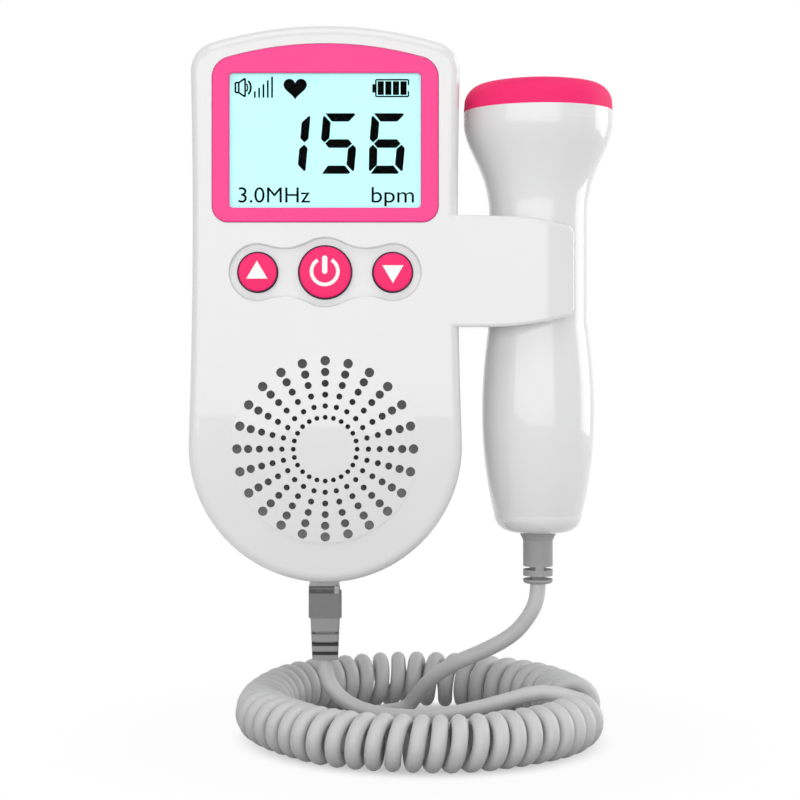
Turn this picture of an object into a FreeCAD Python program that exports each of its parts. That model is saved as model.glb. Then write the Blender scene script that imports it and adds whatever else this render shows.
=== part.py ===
"""Fetal doppler monitor: a hand unit with a display, a clip that holds the probe, and a curly lead.

Frame: X to the right, Z up, Y from the front of the unit to its back. The origin is on the flat back
face, mount_rise above the middle of the unit, where the unit is held. All sizes are in millimetres.
"""
import FreeCAD, Part
import math
import os
from FreeCAD import Vector

# ---- hand unit ---------------------------------------------------------------------------------------
body_height = 132.0
body_width = 64.8
body_depth = 35.0
mount_rise = 30.0          # the frame's origin above the middle of the body
waist_pinch = 1.0          # how far each side draws in above the round bottom
waist_height = 20.0        # height of that waist above the middle
top_arc_radius = 93.5
corner_radius = 7.0
front_edge_radius = 2.6
rear_edge_radius = 4.5
bow_start = -9.5           # height from the middle below which the front face bows back
bow_radius = 600.0
wall = 2.2
least_round = 0.6          # smallest rounding inside the casing
seam_groove = 0.3

# ---- display -----------------------------------------------------------------------------------------
bezel_margin = 4.6         # body top to bezel top
bezel_height = 42.0
bezel_width = 53.3
bezel_arc_radius = 85.0
bezel_top_corner = 5.0
bezel_bottom_corner = 3.8
bezel_proud = 0.3
bezel_depth = 1.5
bezel_lip = 0.7
bezel_edge_round = 0.3
window_width = 45.1
window_height = 31.7
window_corner = 0.9
window_drop = 6.9          # bezel top to window top
window_seat = 1.8          # how far the clear window reaches under the bezel
lcd_thickness = 1.8
backlight_side_gap = 0.3   # screw bosses to the backlight frame
backlight_height = 34.0
backlight_thickness = 3.0

# ---- keys --------------------------------------------------------------------------------------------
key_share = 0.2493         # of the free height between bezel and grille, how much lies above the keys' recess
key_spacing = 15.9
power_key_radius = 6.15
side_key_radius = 4.6
key_gap = 0.3
key_proud = 0.6
key_rim_round = 0.5
key_flange = 1.1
key_flange_thickness = 0.9
key_flange_gap = 0.15
key_travel = 0.8
switch_gap = 0.1           # key at the end of its travel to the switch
recess_depth = 1.0
power_recess_radius = 8.07
side_recess_radius = 6.6
recess_waist_radius = 12.0
recess_round = 0.45

# ---- speaker and grille ------------------------------------------------------------------------------
grille_drop = 0.4          # centre of the round bottom to the centre of the grille
grille_spokes = 24
grille_hole_radii = [0.58, 0.64, 0.72, 0.84, 0.98, 1.12]
grille_first_ring = 7.5
grille_ring_step = 2.66
dome_radius = 22.3
dome_rise = 1.2
speaker_seat_depth = 4.4   # front plane to the seat of the speaker
speaker_seat_wall = 1.2
speaker_radius = 22.4
speaker_rim = 2.4          # mesh edge to the edge of the steel frame
speaker_rim_thickness = 1.0
basket_depth = 5.0
basket_wall = 1.4
speaker_magnet_radius = 9.0
speaker_magnet_height = 3.0
cone_depth = 4.2
cone_centre_radius = 5.4
cone_wall = 0.6
mesh_thickness = 0.5

# ---- board, screws and battery bay -------------------------------------------------------------------
board_thickness = 1.6
board_side_gap = 3.6       # widest part of the body to the edge of the board
board_speaker_gap = 0.85   # speaker frame to the lower edge of the board
board_top_margin = 0.05    # backlight to the upper edge of the board
board_screw_inset = 2.3
board_boss_radius = 2.2
board_screw_radius = 1.0
board_screw_head_radius = 1.9
board_screw_head = 1.3
board_screw_length = 3.0
switch_size = 6.0
switch_case = 1.5
switch_button_radius = 1.7
processor_side = 12.0
processor_thickness = 1.6
processor_shift = 1.0      # to the left of the middle
processor_rise = 20.0      # above the row of keys
chip_thickness = 1.4
driver_width = 8.0
driver_height = 6.0
driver_shift = 14.0
driver_rise = 25.0
amplifier_width = 6.5
amplifier_height = 5.0
amplifier_shift = 16.0
amplifier_rise = 28.0
wire_socket_width = 10.0
wire_socket_height = 4.0
wire_socket_thickness = 3.4
wire_socket_drop = 0.5
capacitor_radius = 3.1
capacitor_height = 6.5
capacitor_shift = 17.0
capacitor_rise = 10.0
case_boss_radius = 3.0
case_screw_radius = 1.3
case_screw_head_radius = 2.4
case_screw_head = 1.8
case_screw_sunk = 3.0
case_screw_grip = 8.0      # how far the screws reach into the front bosses
upper_boss_x = 23.2
upper_boss_drop = 7.2      # body top to the upper bosses
lower_boss_rise = 3.0      # centre of the round bottom to the lower bosses
battery_diameter = 14.5
battery_length = 50.5
battery_bottom_margin = 15.5   # body bottom to the inside end of the bay
contact_space = 2.0            # room at each end of the cells for springs and plates
contact_plate = 0.4
spring_radius = 4.2
spring_wire = 1.0
spring_turns = 3
cell_gap = 0.5
bay_wall = 1.4
cover_width = 35.4
cover_thickness = 1.9
cover_gap = 0.15
cover_travel = 8.0
cover_top_margin = 1.0     # bay's upper wall to the top edge of the cover
rail_reach = 1.4
rail_thickness = 0.8
rail_wall = 1.6
ridge_count = 5
ridge_pitch = 2.2
ridge_half_width = 7.0
fit_gap = 0.1
overrun = 1.0              # how far a cutting block reaches past what it cuts

# ---- probe socket and plug ---------------------------------------------------------------------------
nose_width = 6.8
nose_thickness = 6.2
nose_gap = 0.2
nose_reach = 9.0           # how far the plug reaches into the body
jack_wall = 1.9
jack_depth = 9.4
socket_rim = 3.0           # height of the opening in the curved bottom, above the wall
nose_end_gap = 1.0         # plug to the inner end of its socket
hood_width = 8.06
hood_thickness = 7.4
hood_height = 6.0
hood_round = 0.7
nose_visible = 3.8
contact_pitch = 1.27
blade_width = 0.5
boot_top_width = 7.2
boot_bottom_width = 6.3
boot_round = 0.9
boot_height = 10.3
boot_groove = 0.7          # height of each groove round the boot
boot_side_skin = 0.5       # rubber left beside the cord in the grooves
headphone_rise = 11.5      # lower edge of the board to the headphone jack
headphone_radius = 2.9
headphone_bore = 1.75
headphone_barrel_wall = 0.7
headphone_body = 5.2
headphone_length = 12.6

# ---- probe -------------------------------------------------------------------------------------------
head_radius = 18.1
neck_radius = 11.9
grip_radius = 13.65
tail_radius = 10.7
head_band = 3.1
head_flare = 22.2
neck_overlap = 0.9         # straight neck above the jaws
grip_start = 1.3           # height above the jaws' lower edge at which the grip starts to swell
grip_swell = 21.5
grip_taper = 25.1
tail_corner = 4.4
cap_height = 8.0
cap_edge_height = 2.6
cap_shoulder_height = 6.7
cap_shoulder_inset = 4.5
cap_skirt_depth = 3.5
cap_wall = 1.6
lens_radius = 11.8
lens_seat = 4.0            # cap's lower edge to the back of the contact disc
crystal_thickness = 1.0
crystal_split = 1.0
cup_depth = 3.0
cup_ledge = 0.8            # ledge of the cup under the rim of the crystals
crystal_margin = 1.8       # rim of the crystals to the rim of the contact disc
probe_board_thickness = 1.4
probe_wall = 2.0
probe_side_gap = 1.5      # probe head to the widest part of the unit
probe_forward = 0.9        # probe axis in front of the middle of the depth

# ---- clip --------------------------------------------------------------------------------------------
clip_rise = 1.8            # clip top above the bezel's lower edge
clip_height = 26.5
clip_reach = 7.0           # jaw tips beyond the probe axis
clip_gap = 0.35
clip_tip_depth = 2.6       # how far the jaws curve in at the tip
clip_tip_length = 11.0     # length of that curve
clip_tip_round = 2.0
clip_end_drop = 2.9        # how far the upper and lower edges draw in at the tip
clip_edge_radius = 0.8

# ---- lead --------------------------------------------------------------------------------------------
cord_diameter = 3.8
coil_outer_diameter = 14.2
ring_radius = 38.1
ring_centre = Vector(23.5, -17.5, -128.2)
ring_start_angle = 14.0    # degrees, from the right towards the front
ring_end_angle = 352.0
relief_flange_radius = 4.65
relief_radius = 3.6
relief_length = 12.6
relief_flange_height = 2.1
relief_neck_radius = 3.0
relief_barb_radius = 4.4
relief_barb_height = 1.4
relief_core_radius = 1.9
relief_slot = 0.84
relief_web = 2.0           # rubber left between the two halves of the upper slot

# ---- places worked out from the sizes ----------------------------------------------------------------
middle_z = -mount_rise
top_z = middle_z + body_height / 2
bottom_z = middle_z - body_height / 2
waist_z = middle_z + waist_height
bow_z = middle_z + bow_start
front_y = -body_depth
seam_y = -body_depth / 2
bottom_radius = body_width / 2
bottom_centre_z = bottom_z + bottom_radius
grille_z = bottom_centre_z - grille_drop
far = 2 * body_height      # reach of the blocks that split or trim a piece

bezel_top_z = top_z - bezel_margin
bezel_bottom_z = bezel_top_z - bezel_height
bezel_front_y = front_y - bezel_proud
bezel_back_y = bezel_front_y + bezel_depth
window_top_z = bezel_top_z - window_drop
window_bottom_z = window_top_z - window_height
window_mid_z = (window_top_z + window_bottom_z) / 2
window_front_y = bezel_front_y + bezel_lip
lcd_front_y = bezel_back_y + fit_gap
lcd_back_y = lcd_front_y + lcd_thickness
board_front_y = lcd_back_y + backlight_thickness
board_back_y = board_front_y + board_thickness

key_free_height = bezel_bottom_z - (grille_z + dome_radius) - 2 * power_recess_radius
key_z = bezel_bottom_z - power_recess_radius - key_share * key_free_height
inner_front_y = front_y + wall
speaker_seat_y = front_y + speaker_seat_depth
board_half_width = bottom_radius - board_side_gap
board_bottom_z = grille_z + speaker_radius - speaker_rim + board_speaker_gap
board_top_z = window_mid_z + backlight_height / 2 + board_top_margin
board_screw_x = board_half_width - board_screw_inset

probe_x = body_width / 2 + probe_side_gap + head_radius
probe_y = seam_y - probe_forward
clip_top_z = bezel_bottom_z + clip_rise
clip_bottom_z = clip_top_z - clip_height
clip_tip_x = probe_x + clip_reach
slot_radius = neck_radius + clip_gap


# ---- small builders ----------------------------------------------------------------------------------
def box(x0, x1, y0, y1, z0, z1):
    return Part.makeBox(x1 - x0, y1 - y0, z1 - z0, Vector(x0, y0, z0))


def rod_x(y, z, radius, x0, x1):
    return Part.makeCylinder(radius, x1 - x0, Vector(x0, y, z), Vector(1, 0, 0))


def rod_y(x, z, radius, y0, y1):
    return Part.makeCylinder(radius, y1 - y0, Vector(x, y0, z), Vector(0, 1, 0))


def rod_z(x, y, radius, z0, z1):
    return Part.makeCylinder(radius, z1 - z0, Vector(x, y, z0), Vector(0, 0, 1))


def arc(a, b, c):
    return Part.Arc(a, b, c).toShape()


def line(a, b):
    return Part.LineSegment(a, b).toShape()


def fuse(first, *others):
    return first.fuse(list(others)).removeSplitter()


def cut(first, *others):
    return first.cut(list(others))


def save(name, *solids):
    """Write one named piece, or one group of like pieces, as a STEP file."""
    shape = solids[0] if len(solids) == 1 else Part.makeCompound(list(solids))
    if not shape.isValid():
        raise ValueError(name + " is not a valid shape")
    shape.exportStep("parts/" + name + ".step")
    print(name, len(shape.Solids), "solid(s),", round(shape.Volume, 1), "mm3")


# ---- outline of the hand unit ------------------------------------------------------------------------
def side_circle(inset):
    """Centre x and radius of the shallow arc that makes a side, on the right-hand side."""
    waist = bottom_radius - waist_pinch
    rise = waist_z - bottom_centre_z
    radius = (waist**2 + rise**2 - bottom_radius**2) / (2 * waist_pinch)
    return waist + radius, radius + inset


def body_prism(inset, y0, y1):
    """The front outline, drawn in by inset, as a solid from y0 to y1, with its top corners rounded."""
    bottom_r = bottom_radius - inset
    side_x, side_r = side_circle(inset)
    along = Vector(side_x, 0, waist_z - bottom_centre_z).normalize()
    tangent = Vector(along.x * bottom_r, y0, bottom_centre_z + along.z * bottom_r)
    top_r = top_arc_radius - inset
    top_arc_z = top_z - top_arc_radius
    corner = Vector(bottom_r, y0, top_z)
    for _ in range(12):
        corner.x = side_x - math.sqrt(side_r**2 - (corner.z - waist_z)**2)
        corner.z = top_arc_z + math.sqrt(top_r**2 - corner.x**2)
    side_mid = Vector(side_x - side_r, y0, waist_z)

    def left(point):
        return Vector(-point.x, point.y, point.z)

    edges = [arc(left(tangent), Vector(0, y0, bottom_z + inset), tangent),
             arc(tangent, side_mid, corner),
             arc(corner, Vector(0, y0, top_z - inset), left(corner)),
             arc(left(corner), left(side_mid), left(tangent))]
    solid = Part.Face(Part.Wire(edges)).extrude(Vector(0, y1 - y0, 0))
    corners = [e for e in solid.Edges
               if abs(abs(e.CenterOfMass.x) - corner.x) < 0.01 and abs(e.CenterOfMass.z - corner.z) < 0.01]
    return solid.makeFillet(max(corner_radius - inset, 0.5), corners)


def bow_at(z):
    """How far the front face has bowed back at height z."""
    if z >= bow_z:
        return 0.0
    return bow_radius - math.sqrt(bow_radius**2 - (z - bow_z)**2)


def front_limit(inset):
    """Everything behind the front face, drawn in by inset: flat above, bowed back below."""
    radius = bow_radius - inset
    centre_y = front_y + bow_radius
    y_start = front_y + inset

    def on_bow(z):
        return Vector(-far, centre_y - math.sqrt(radius**2 - (z - bow_z)**2), z)

    low = bottom_z - body_depth
    top = Vector(-far, y_start, far)
    start = Vector(-far, y_start, bow_z)
    edges = [line(top, start), arc(start, on_bow((bow_z + low) / 2), on_bow(low)),
             line(on_bow(low), Vector(-far, far, low)), line(Vector(-far, far, low), Vector(-far, far, far)),
             line(Vector(-far, far, far), top)]
    return Part.Face(Part.Wire(edges)).extrude(Vector(2 * far, 0, 0))


def body_block(inset, y_back, rear_rim=True):
    """The whole body drawn in by inset, with rounded front and, if it has one, rear rim."""
    front_round = max(front_edge_radius - inset, least_round)
    rear_round = max(rear_edge_radius - inset, least_round)
    block = body_prism(inset, front_y - overrun, y_back).common(front_limit(inset))
    rims = []
    for edge in block.Edges:
        centre = edge.CenterOfMass
        if abs(centre.x) < 0.01 and edge.BoundBox.ZLength < 0.01:
            continue
        if edge.BoundBox.YLength > body_depth / 2:
            continue
        rims.append(edge)
    front = [e for e in rims if e.CenterOfMass.y < seam_y - wall]
    block = block.makeFillet(front_round, front)
    if rear_rim:
        rear = [e for e in block.Edges if e.BoundBox.YLength < 0.01 and e.CenterOfMass.y > y_back - 0.01]
        block = block.makeFillet(rear_round, rear)
    return block


outer_body = body_block(0.0, 0.0)
cavity = body_block(wall, -wall)
front_room = body_block(wall / 2, seam_y, rear_rim=False)
rear_room = body_block(wall / 2, -wall / 2)


# ---- clip for the probe ------------------------------------------------------------------------------
def clip_block():
    """Both jaws and the web between them, as one solid with rounded outer edges."""
    root_x = bottom_radius - waist_pinch - front_edge_radius
    flat_end = clip_tip_x - clip_tip_length
    z0 = clip_bottom_z - overrun
    height = clip_height + 2 * overrun
    side_y = [front_y, 0.0]
    tip_y = [front_y + clip_tip_depth, -clip_tip_depth]
    bulge_x = flat_end + 0.55 * clip_tip_length
    bulge = 0.28 * clip_tip_depth

    def p(x, y):
        return Vector(x, y, z0)

    plan = Part.Face(Part.Wire([
        line(p(root_x, side_y[0]), p(flat_end, side_y[0])),
        arc(p(flat_end, side_y[0]), p(bulge_x, side_y[0] + bulge), p(clip_tip_x, tip_y[0])),
        line(p(clip_tip_x, tip_y[0]), p(clip_tip_x, tip_y[1])),
        arc(p(clip_tip_x, tip_y[1]), p(bulge_x, side_y[1] - bulge), p(flat_end, side_y[1])),
        line(p(flat_end, side_y[1]), p(root_x, side_y[1])),
        line(p(root_x, side_y[1]), p(root_x, side_y[0]))])).extrude(Vector(0, 0, height))

    bend_x = probe_x - slot_radius
    middle_x = (bend_x + clip_tip_x) / 2
    drop = clip_end_drop
    dip = 0.3 * drop

    def q(x, z):
        return Vector(x, front_y - overrun, z)

    front_view = Part.Face(Part.Wire([
        line(q(root_x, clip_top_z), q(bend_x, clip_top_z - 0.2)),
        arc(q(bend_x, clip_top_z - 0.2), q(middle_x, clip_top_z - dip), q(clip_tip_x, clip_top_z - drop)),
        line(q(clip_tip_x, clip_top_z - drop), q(clip_tip_x, clip_bottom_z + drop)),
        arc(q(clip_tip_x, clip_bottom_z + drop), q(middle_x, clip_bottom_z + dip), q(bend_x, clip_bottom_z)),
        line(q(bend_x, clip_bottom_z), q(root_x, clip_bottom_z)),
        line(q(root_x, clip_bottom_z), q(root_x, clip_top_z))]))
    block = plan.common(front_view.extrude(Vector(0, body_depth + 2 * overrun, 0)))
    tips = [e for e in block.Edges if e.BoundBox.YLength > 1 and abs(e.CenterOfMass.x - clip_tip_x) < 0.01]
    block = block.makeFillet(clip_tip_round, tips)
    slot = fuse(rod_z(probe_x, probe_y, slot_radius, z0, z0 + height),
                box(probe_x, clip_tip_x + overrun, probe_y - slot_radius, probe_y + slot_radius,
                    z0, z0 + height))
    block = block.cut(slot)
    return block.makeFillet(clip_edge_radius, outer_edges(block, root_x))


def outer_edges(block, root_x):
    """The edges that border the jaws' outer faces, apart from the seams within those faces."""
    seen = []
    for face in block.Faces:
        middle = face.CenterOfMass
        outside = abs(middle.y - probe_y) > slot_radius and face.BoundBox.XLength > clip_tip_round
        level = face.BoundBox.ZLength > clip_height / 2
        if outside and level and face.BoundBox.YLength < clip_tip_depth + 0.1:
            seen += face.Edges
    chosen = []
    for edge in seen:
        twins = [other for other in seen if other.isSame(edge)]
        if len(twins) == 1 and edge.CenterOfMass.x > root_x + 0.1:
            chosen.append(edge)
    return chosen


clip = clip_block()
clip_pocket = box(bottom_radius - waist_pinch - wall - overrun, probe_x - slot_radius - wall,
                  front_y + 2 * wall, -2 * wall, clip_bottom_z + wall, clip_top_z - wall)

front_half = box(-far, far, -far, seam_y, -far, far)
rear_half = box(-far, far, seam_y, far, -far, far)


def shell(half):
    """One half of the casing: skin and jaw, hollow inside."""
    skin = outer_body.fuse(clip).common(half)
    return cut(skin, cavity, clip_pocket)


# ---- where the screws go -----------------------------------------------------------------------------
upper_boss = Vector(upper_boss_x, 0, top_z - upper_boss_drop)
lower_boss = Vector(speaker_radius + case_boss_radius + cell_gap, 0, bottom_centre_z + lower_boss_rise)
boss_places = [(side * place.x, place.z) for place in (upper_boss, lower_boss) for side in (-1, 1)]
board_screw_places = [(side * board_screw_x, z) for side in (-1, 1)
                      for z in (board_bottom_z + board_screw_inset, board_top_z - board_screw_inset)]
screw_end_y = seam_y - case_screw_grip


# ---- shapes shared by the bezel and its pocket -------------------------------------------------------
def bezel_prism(grow, y0, y1):
    """Outline of the bezel, grown by a clearance, from y0 to y1."""
    half = bezel_width / 2 + grow
    radius = bezel_arc_radius + grow
    shoulder_z = bezel_top_z + grow - (radius - math.sqrt(radius**2 - half**2))
    low = bezel_bottom_z - grow

    def p(x, z):
        return Vector(x, y0, z)

    outline = Part.Face(Part.Wire([
        line(p(half, shoulder_z), p(half, low)), line(p(half, low), p(-half, low)),
        line(p(-half, low), p(-half, shoulder_z)),
        arc(p(-half, shoulder_z), p(0, bezel_top_z + grow), p(half, shoulder_z))]))
    solid = outline.extrude(Vector(0, y1 - y0, 0))

    def upright(place_z):
        edges = [e for e in solid.Edges if e.BoundBox.YLength > (y1 - y0) / 2]
        return [e for e in edges
                if abs(e.CenterOfMass.z - place_z) < 0.01 and abs(e.CenterOfMass.x) > half - 0.01]

    solid = solid.makeFillet(bezel_top_corner + grow, upright(shoulder_z))
    return solid.makeFillet(bezel_bottom_corner + grow, upright(low))


def window_box(grow, y0, y1):
    """A block of the window's outline, grown on all four sides."""
    half = window_width / 2 + grow
    return box(-half, half, y0, y1, window_bottom_z - grow, window_top_z + grow)


def display_bezel():
    """The frame, with rounded corners in its opening, a rounded front rim and a seat for the window."""
    opening = window_box(0, bezel_front_y - overrun, bezel_back_y + overrun)
    upright = [e for e in opening.Edges if e.BoundBox.YLength > bezel_depth / 2]
    seat = window_box(window_seat, window_front_y, bezel_back_y + overrun)
    frame = cut(bezel_prism(0, bezel_front_y, bezel_back_y), opening.makeFillet(window_corner, upright), seat)
    rim = [e for e in frame.Edges
           if e.BoundBox.YLength < 0.01 and abs(e.CenterOfMass.y - bezel_front_y) < 0.01]
    return frame.makeFillet(bezel_edge_round, rim)


# ---- outline of the recess for the keys --------------------------------------------------------------
def key_recess(y0, y1):
    """Three circles joined by hollow arcs, from y0 to y1."""
    to_side = side_recess_radius + recess_waist_radius
    to_power = power_recess_radius + recess_waist_radius
    across = (key_spacing**2 + to_power**2 - to_side**2) / (2 * key_spacing)
    up = math.sqrt(to_power**2 - across**2)

    def p(x, z):
        return Vector(x, y0, key_z + z)

    power_touch = (across * power_recess_radius / to_power, up * power_recess_radius / to_power)
    side_touch = (key_spacing + (across - key_spacing) * side_recess_radius / to_side,
                  up * side_recess_radius / to_side)
    hollow = (across - 0.15, up - math.sqrt(recess_waist_radius**2 - 0.15**2))

    def mirror(point, flip_x, flip_z):
        return p(point[0] * flip_x, point[1] * flip_z)

    edges = [arc(mirror(power_touch, -1, 1), p(0, power_recess_radius), mirror(power_touch, 1, 1)),
             arc(mirror(power_touch, 1, 1), mirror(hollow, 1, 1), mirror(side_touch, 1, 1)),
             arc(mirror(side_touch, 1, 1), p(key_spacing + side_recess_radius, 0), mirror(side_touch, 1, -1)),
             arc(mirror(side_touch, 1, -1), mirror(hollow, 1, -1), mirror(power_touch, 1, -1)),
             arc(mirror(power_touch, 1, -1), p(0, -power_recess_radius), mirror(power_touch, -1, -1)),
             arc(mirror(power_touch, -1, -1), mirror(hollow, -1, -1), mirror(side_touch, -1, -1)),
             arc(mirror(side_touch, -1, -1), p(-key_spacing - side_recess_radius, 0),
                 mirror(side_touch, -1, 1)),
             arc(mirror(side_touch, -1, 1), mirror(hollow, -1, 1), mirror(power_touch, -1, 1))]
    return Part.Face(Part.Wire(edges)).extrude(Vector(0, y1 - y0, 0))


keys = {"volume_up_button": (-key_spacing, side_key_radius),
        "power_button": (0.0, power_key_radius),
        "volume_down_button": (key_spacing, side_key_radius)}


# ---- front shell -------------------------------------------------------------------------------------
def grille_dome():
    """The shallow dome that carries the grille, square to the bowed face."""
    surface = Vector(0, front_y + bow_at(grille_z), grille_z)
    bow_centre = Vector(0, front_y + bow_radius, bow_z)
    outward = (surface - bow_centre).normalize()
    sphere_radius = (dome_radius**2 + dome_rise**2) / (2 * dome_rise)
    centre = surface + outward * (dome_rise - sphere_radius)
    ball = Part.makeSphere(sphere_radius, centre)
    post = Part.makeCylinder(dome_radius, wall + dome_rise, surface - outward * (wall / 2), outward)
    return ball.common(post)


def grille_holes():
    """Rings of round holes, larger towards the rim."""
    holes = []
    for ring, radius in enumerate(grille_hole_radii):
        reach = grille_first_ring + ring * grille_ring_step
        for spoke in range(grille_spokes):
            turn = 2 * math.pi * spoke / grille_spokes
            x = reach * math.sin(turn)
            z = grille_z + reach * math.cos(turn)
            holes.append(rod_y(x, z, radius, front_y - dome_rise - overrun, speaker_seat_y + overrun))
    return Part.makeCompound(holes)


def front_shell():
    body = shell(front_half)
    seat = rod_y(0, grille_z, speaker_radius + speaker_seat_wall, front_y, speaker_seat_y).common(front_room)
    bosses = [rod_y(x, z, case_boss_radius, front_y + wall / 2, seam_y) for x, z in boss_places]
    bosses += [rod_y(x, z, board_boss_radius, front_y + wall / 2, board_front_y)
               for x, z in board_screw_places]
    bosses = [boss.common(front_room) for boss in bosses]
    body = fuse(body, grille_dome(), seat, *bosses)
    cuts = [bezel_prism(fit_gap, front_y - overrun, bezel_back_y),
            window_box(fit_gap, front_y - overrun, board_front_y),
            key_recess(front_y - overrun, front_y + recess_depth), grille_holes()]
    for x, radius in keys.values():
        cuts.append(rod_y(x, key_z, radius + key_gap, front_y - overrun, inner_front_y + overrun))
        cuts.append(rod_y(x, key_z, radius + key_flange + key_gap, inner_front_y, board_front_y))
    for x, z in boss_places:
        cuts.append(rod_y(x, z, case_screw_radius, screw_end_y - overrun, seam_y + overrun))
    for x, z in board_screw_places:
        cuts.append(rod_y(x, z, board_screw_radius, board_front_y - board_screw_length - fit_gap,
                          board_front_y + overrun))
    cuts.append(body_prism(-overrun, seam_y - seam_groove, seam_y)
                .cut(body_prism(seam_groove, seam_y - overrun, seam_y + overrun))
                .cut(box(0, far, -far, far, clip_bottom_z - fit_gap, clip_top_z + fit_gap)))
    cuts.append(headphone_hole())
    cuts.append(socket_mouth())
    body = cut(body, *cuts)
    return body.makeFillet(recess_round, recess_rim(body))


def recess_rim(body):
    """The edges between the front face and the wall of the recess for the keys."""
    reach_x = key_spacing + side_recess_radius + fit_gap
    reach_z = power_recess_radius + fit_gap
    rim = []
    for edge in body.Edges:
        extent = edge.BoundBox
        level = abs(extent.YMin - front_y) < 0.01 and abs(extent.YMax - front_y) < 0.01
        across = max(-extent.XMin, extent.XMax) < reach_x
        if level and across and max(key_z - extent.ZMin, extent.ZMax - key_z) < reach_z:
            rim.append(edge)
    return rim


# ---- socket for the probe's plug ---------------------------------------------------------------------
nose_top_z = bottom_z + nose_reach


def socket_mouth():
    half_x = nose_width / 2 + nose_gap
    half_y = nose_thickness / 2 + nose_gap
    return box(-half_x, half_x, seam_y - half_y, seam_y + half_y, bottom_z - overrun,
               bottom_z + wall + socket_rim)


def probe_jack():
    half_x = nose_width / 2 + nose_gap
    half_y = nose_thickness / 2 + nose_gap
    outside = box(-half_x - jack_wall, half_x + jack_wall, seam_y - half_y - jack_wall,
                  seam_y + half_y + jack_wall, bottom_z, bottom_z + wall + jack_depth + jack_wall)
    inside = box(-half_x, half_x, seam_y - half_y, seam_y + half_y, bottom_z - overrun,
                 nose_top_z + nose_end_gap)
    return outside.common(cavity).cut(inside)


# ---- headphone jack in the left side -----------------------------------------------------------------
headphone_z = board_bottom_z + headphone_rise
headphone_y = board_back_y + headphone_body / 2


def headphone_hole():
    return rod_x(headphone_y, headphone_z, headphone_radius + fit_gap, -bottom_radius - overrun,
                 -board_half_width)


def headphone_jack():
    half_height = headphone_radius + fit_gap
    block = box(-board_half_width, -board_half_width + headphone_length, board_back_y,
                board_back_y + headphone_body, headphone_z - half_height, headphone_z + half_height)
    barrel = rod_x(headphone_y, headphone_z, headphone_bore + headphone_barrel_wall,
                   -bottom_radius + waist_pinch + fit_gap, -board_half_width)
    bore = rod_x(headphone_y, headphone_z, headphone_bore, -bottom_radius - overrun,
                 -board_half_width + headphone_length - bay_wall)
    return cut(fuse(block, barrel), bore)


# ---- rear shell, battery bay and cover ---------------------------------------------------------------
cell_spacing = battery_diameter + cell_gap
bay_half_width = cell_spacing / 2 + battery_diameter / 2 + cell_gap
bay_bottom_z = bottom_z + battery_bottom_margin
bay_top_z = bay_bottom_z + battery_length + 2 * contact_space
rail_top_y = -wall - cover_gap
cell_y = rail_top_y - rail_thickness - cell_gap - battery_diameter / 2
bay_floor_y = cell_y - battery_diameter / 2 - fit_gap
cover_top_z = bay_top_z + bay_wall + cover_top_margin
rail_half_width = cover_width / 2 + rail_reach
rail_bottom_z = bay_bottom_z + cover_travel / 2


def cover_outline(grow, y0, y1):
    half = cover_width / 2 + grow
    return box(-half, half, y0, y1, bottom_z - overrun, cover_top_z + grow)


def rear_shell():
    body = shell(rear_half)
    bay_out = box(-bay_half_width - bay_wall, bay_half_width + bay_wall, bay_floor_y - bay_wall, -wall / 2,
                  bay_bottom_z - bay_wall, bay_top_z + bay_wall)
    shelf = box(-rail_half_width - rail_wall, rail_half_width + rail_wall,
                rail_top_y - rail_thickness - rail_wall, -wall / 2, bottom_z, bay_top_z + bay_wall)
    bosses = [rod_y(x, z, case_boss_radius, seam_y, -wall / 2).common(rear_room) for x, z in boss_places]
    body = fuse(body, bay_out, shelf.common(rear_room), *bosses)
    bay_in = box(-bay_half_width, bay_half_width, bay_floor_y, overrun, bay_bottom_z, bay_top_z)
    runway = box(-rail_half_width - cover_gap, rail_half_width + cover_gap,
                 rail_top_y - rail_thickness - cover_gap, -wall,
                 rail_bottom_z - cover_travel - cell_gap, bay_top_z)
    under_cover = box(-cover_width / 2 - cover_gap, cover_width / 2 + cover_gap, -wall - cover_gap, overrun,
                      bottom_z - overrun, cover_top_z + cover_gap)
    cuts = [bay_in, runway, under_cover, socket_mouth(), headphone_hole()]
    for x, z in boss_places:
        cuts.append(rod_y(x, z, case_screw_head_radius + 2 * fit_gap, -case_screw_sunk, overrun))
        cuts.append(rod_y(x, z, case_screw_radius + fit_gap, seam_y - overrun, overrun))
    return cut(body, *cuts)


def battery_cover():
    plate = outer_body.common(cover_outline(0, -wall, overrun))
    neck_half = cover_width / 2 - rail_reach
    neck = box(-neck_half, neck_half, rail_top_y - rail_thickness, -wall / 2, rail_bottom_z,
               bay_top_z - rail_reach)
    rails = box(-rail_half_width, rail_half_width, rail_top_y - rail_thickness, rail_top_y,
                rail_bottom_z, bay_top_z - rail_reach)
    ridges = []
    for step in range(1, ridge_count + 1):
        ridge_z = cover_top_z - ridge_pitch * (step + 2)
        ridges.append(box(-ridge_half_width, ridge_half_width, -ridge_pitch / 4, overrun, ridge_z,
                          ridge_z + ridge_pitch / 2))
    return cut(fuse(plate, neck, rails), *ridges)


def batteries():
    """Two cells side by side, one with its nub up and one with its nub down."""
    nub_height = 1.0
    nub_radius = 2.7
    base_height = 0.5
    base_radius = 5.2
    cell_middle_z = (bay_bottom_z + bay_top_z) / 2
    low = cell_middle_z - battery_length / 2
    high = cell_middle_z + battery_length / 2
    cells = []
    for side in (-1, 1):
        x = side * cell_spacing / 2
        can = rod_z(x, cell_y, battery_diameter / 2, low + base_height, high - nub_height)
        nub = rod_z(x, cell_y, nub_radius, high - nub_height, high)
        base = rod_z(x, cell_y, base_radius, low, low + base_height)
        cell = fuse(can, nub, base)
        if side > 0:
            cell.rotate(Vector(x, cell_y, cell_middle_z), Vector(0, 1, 0), 180)
        cells.append(cell)
    return cells


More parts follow.
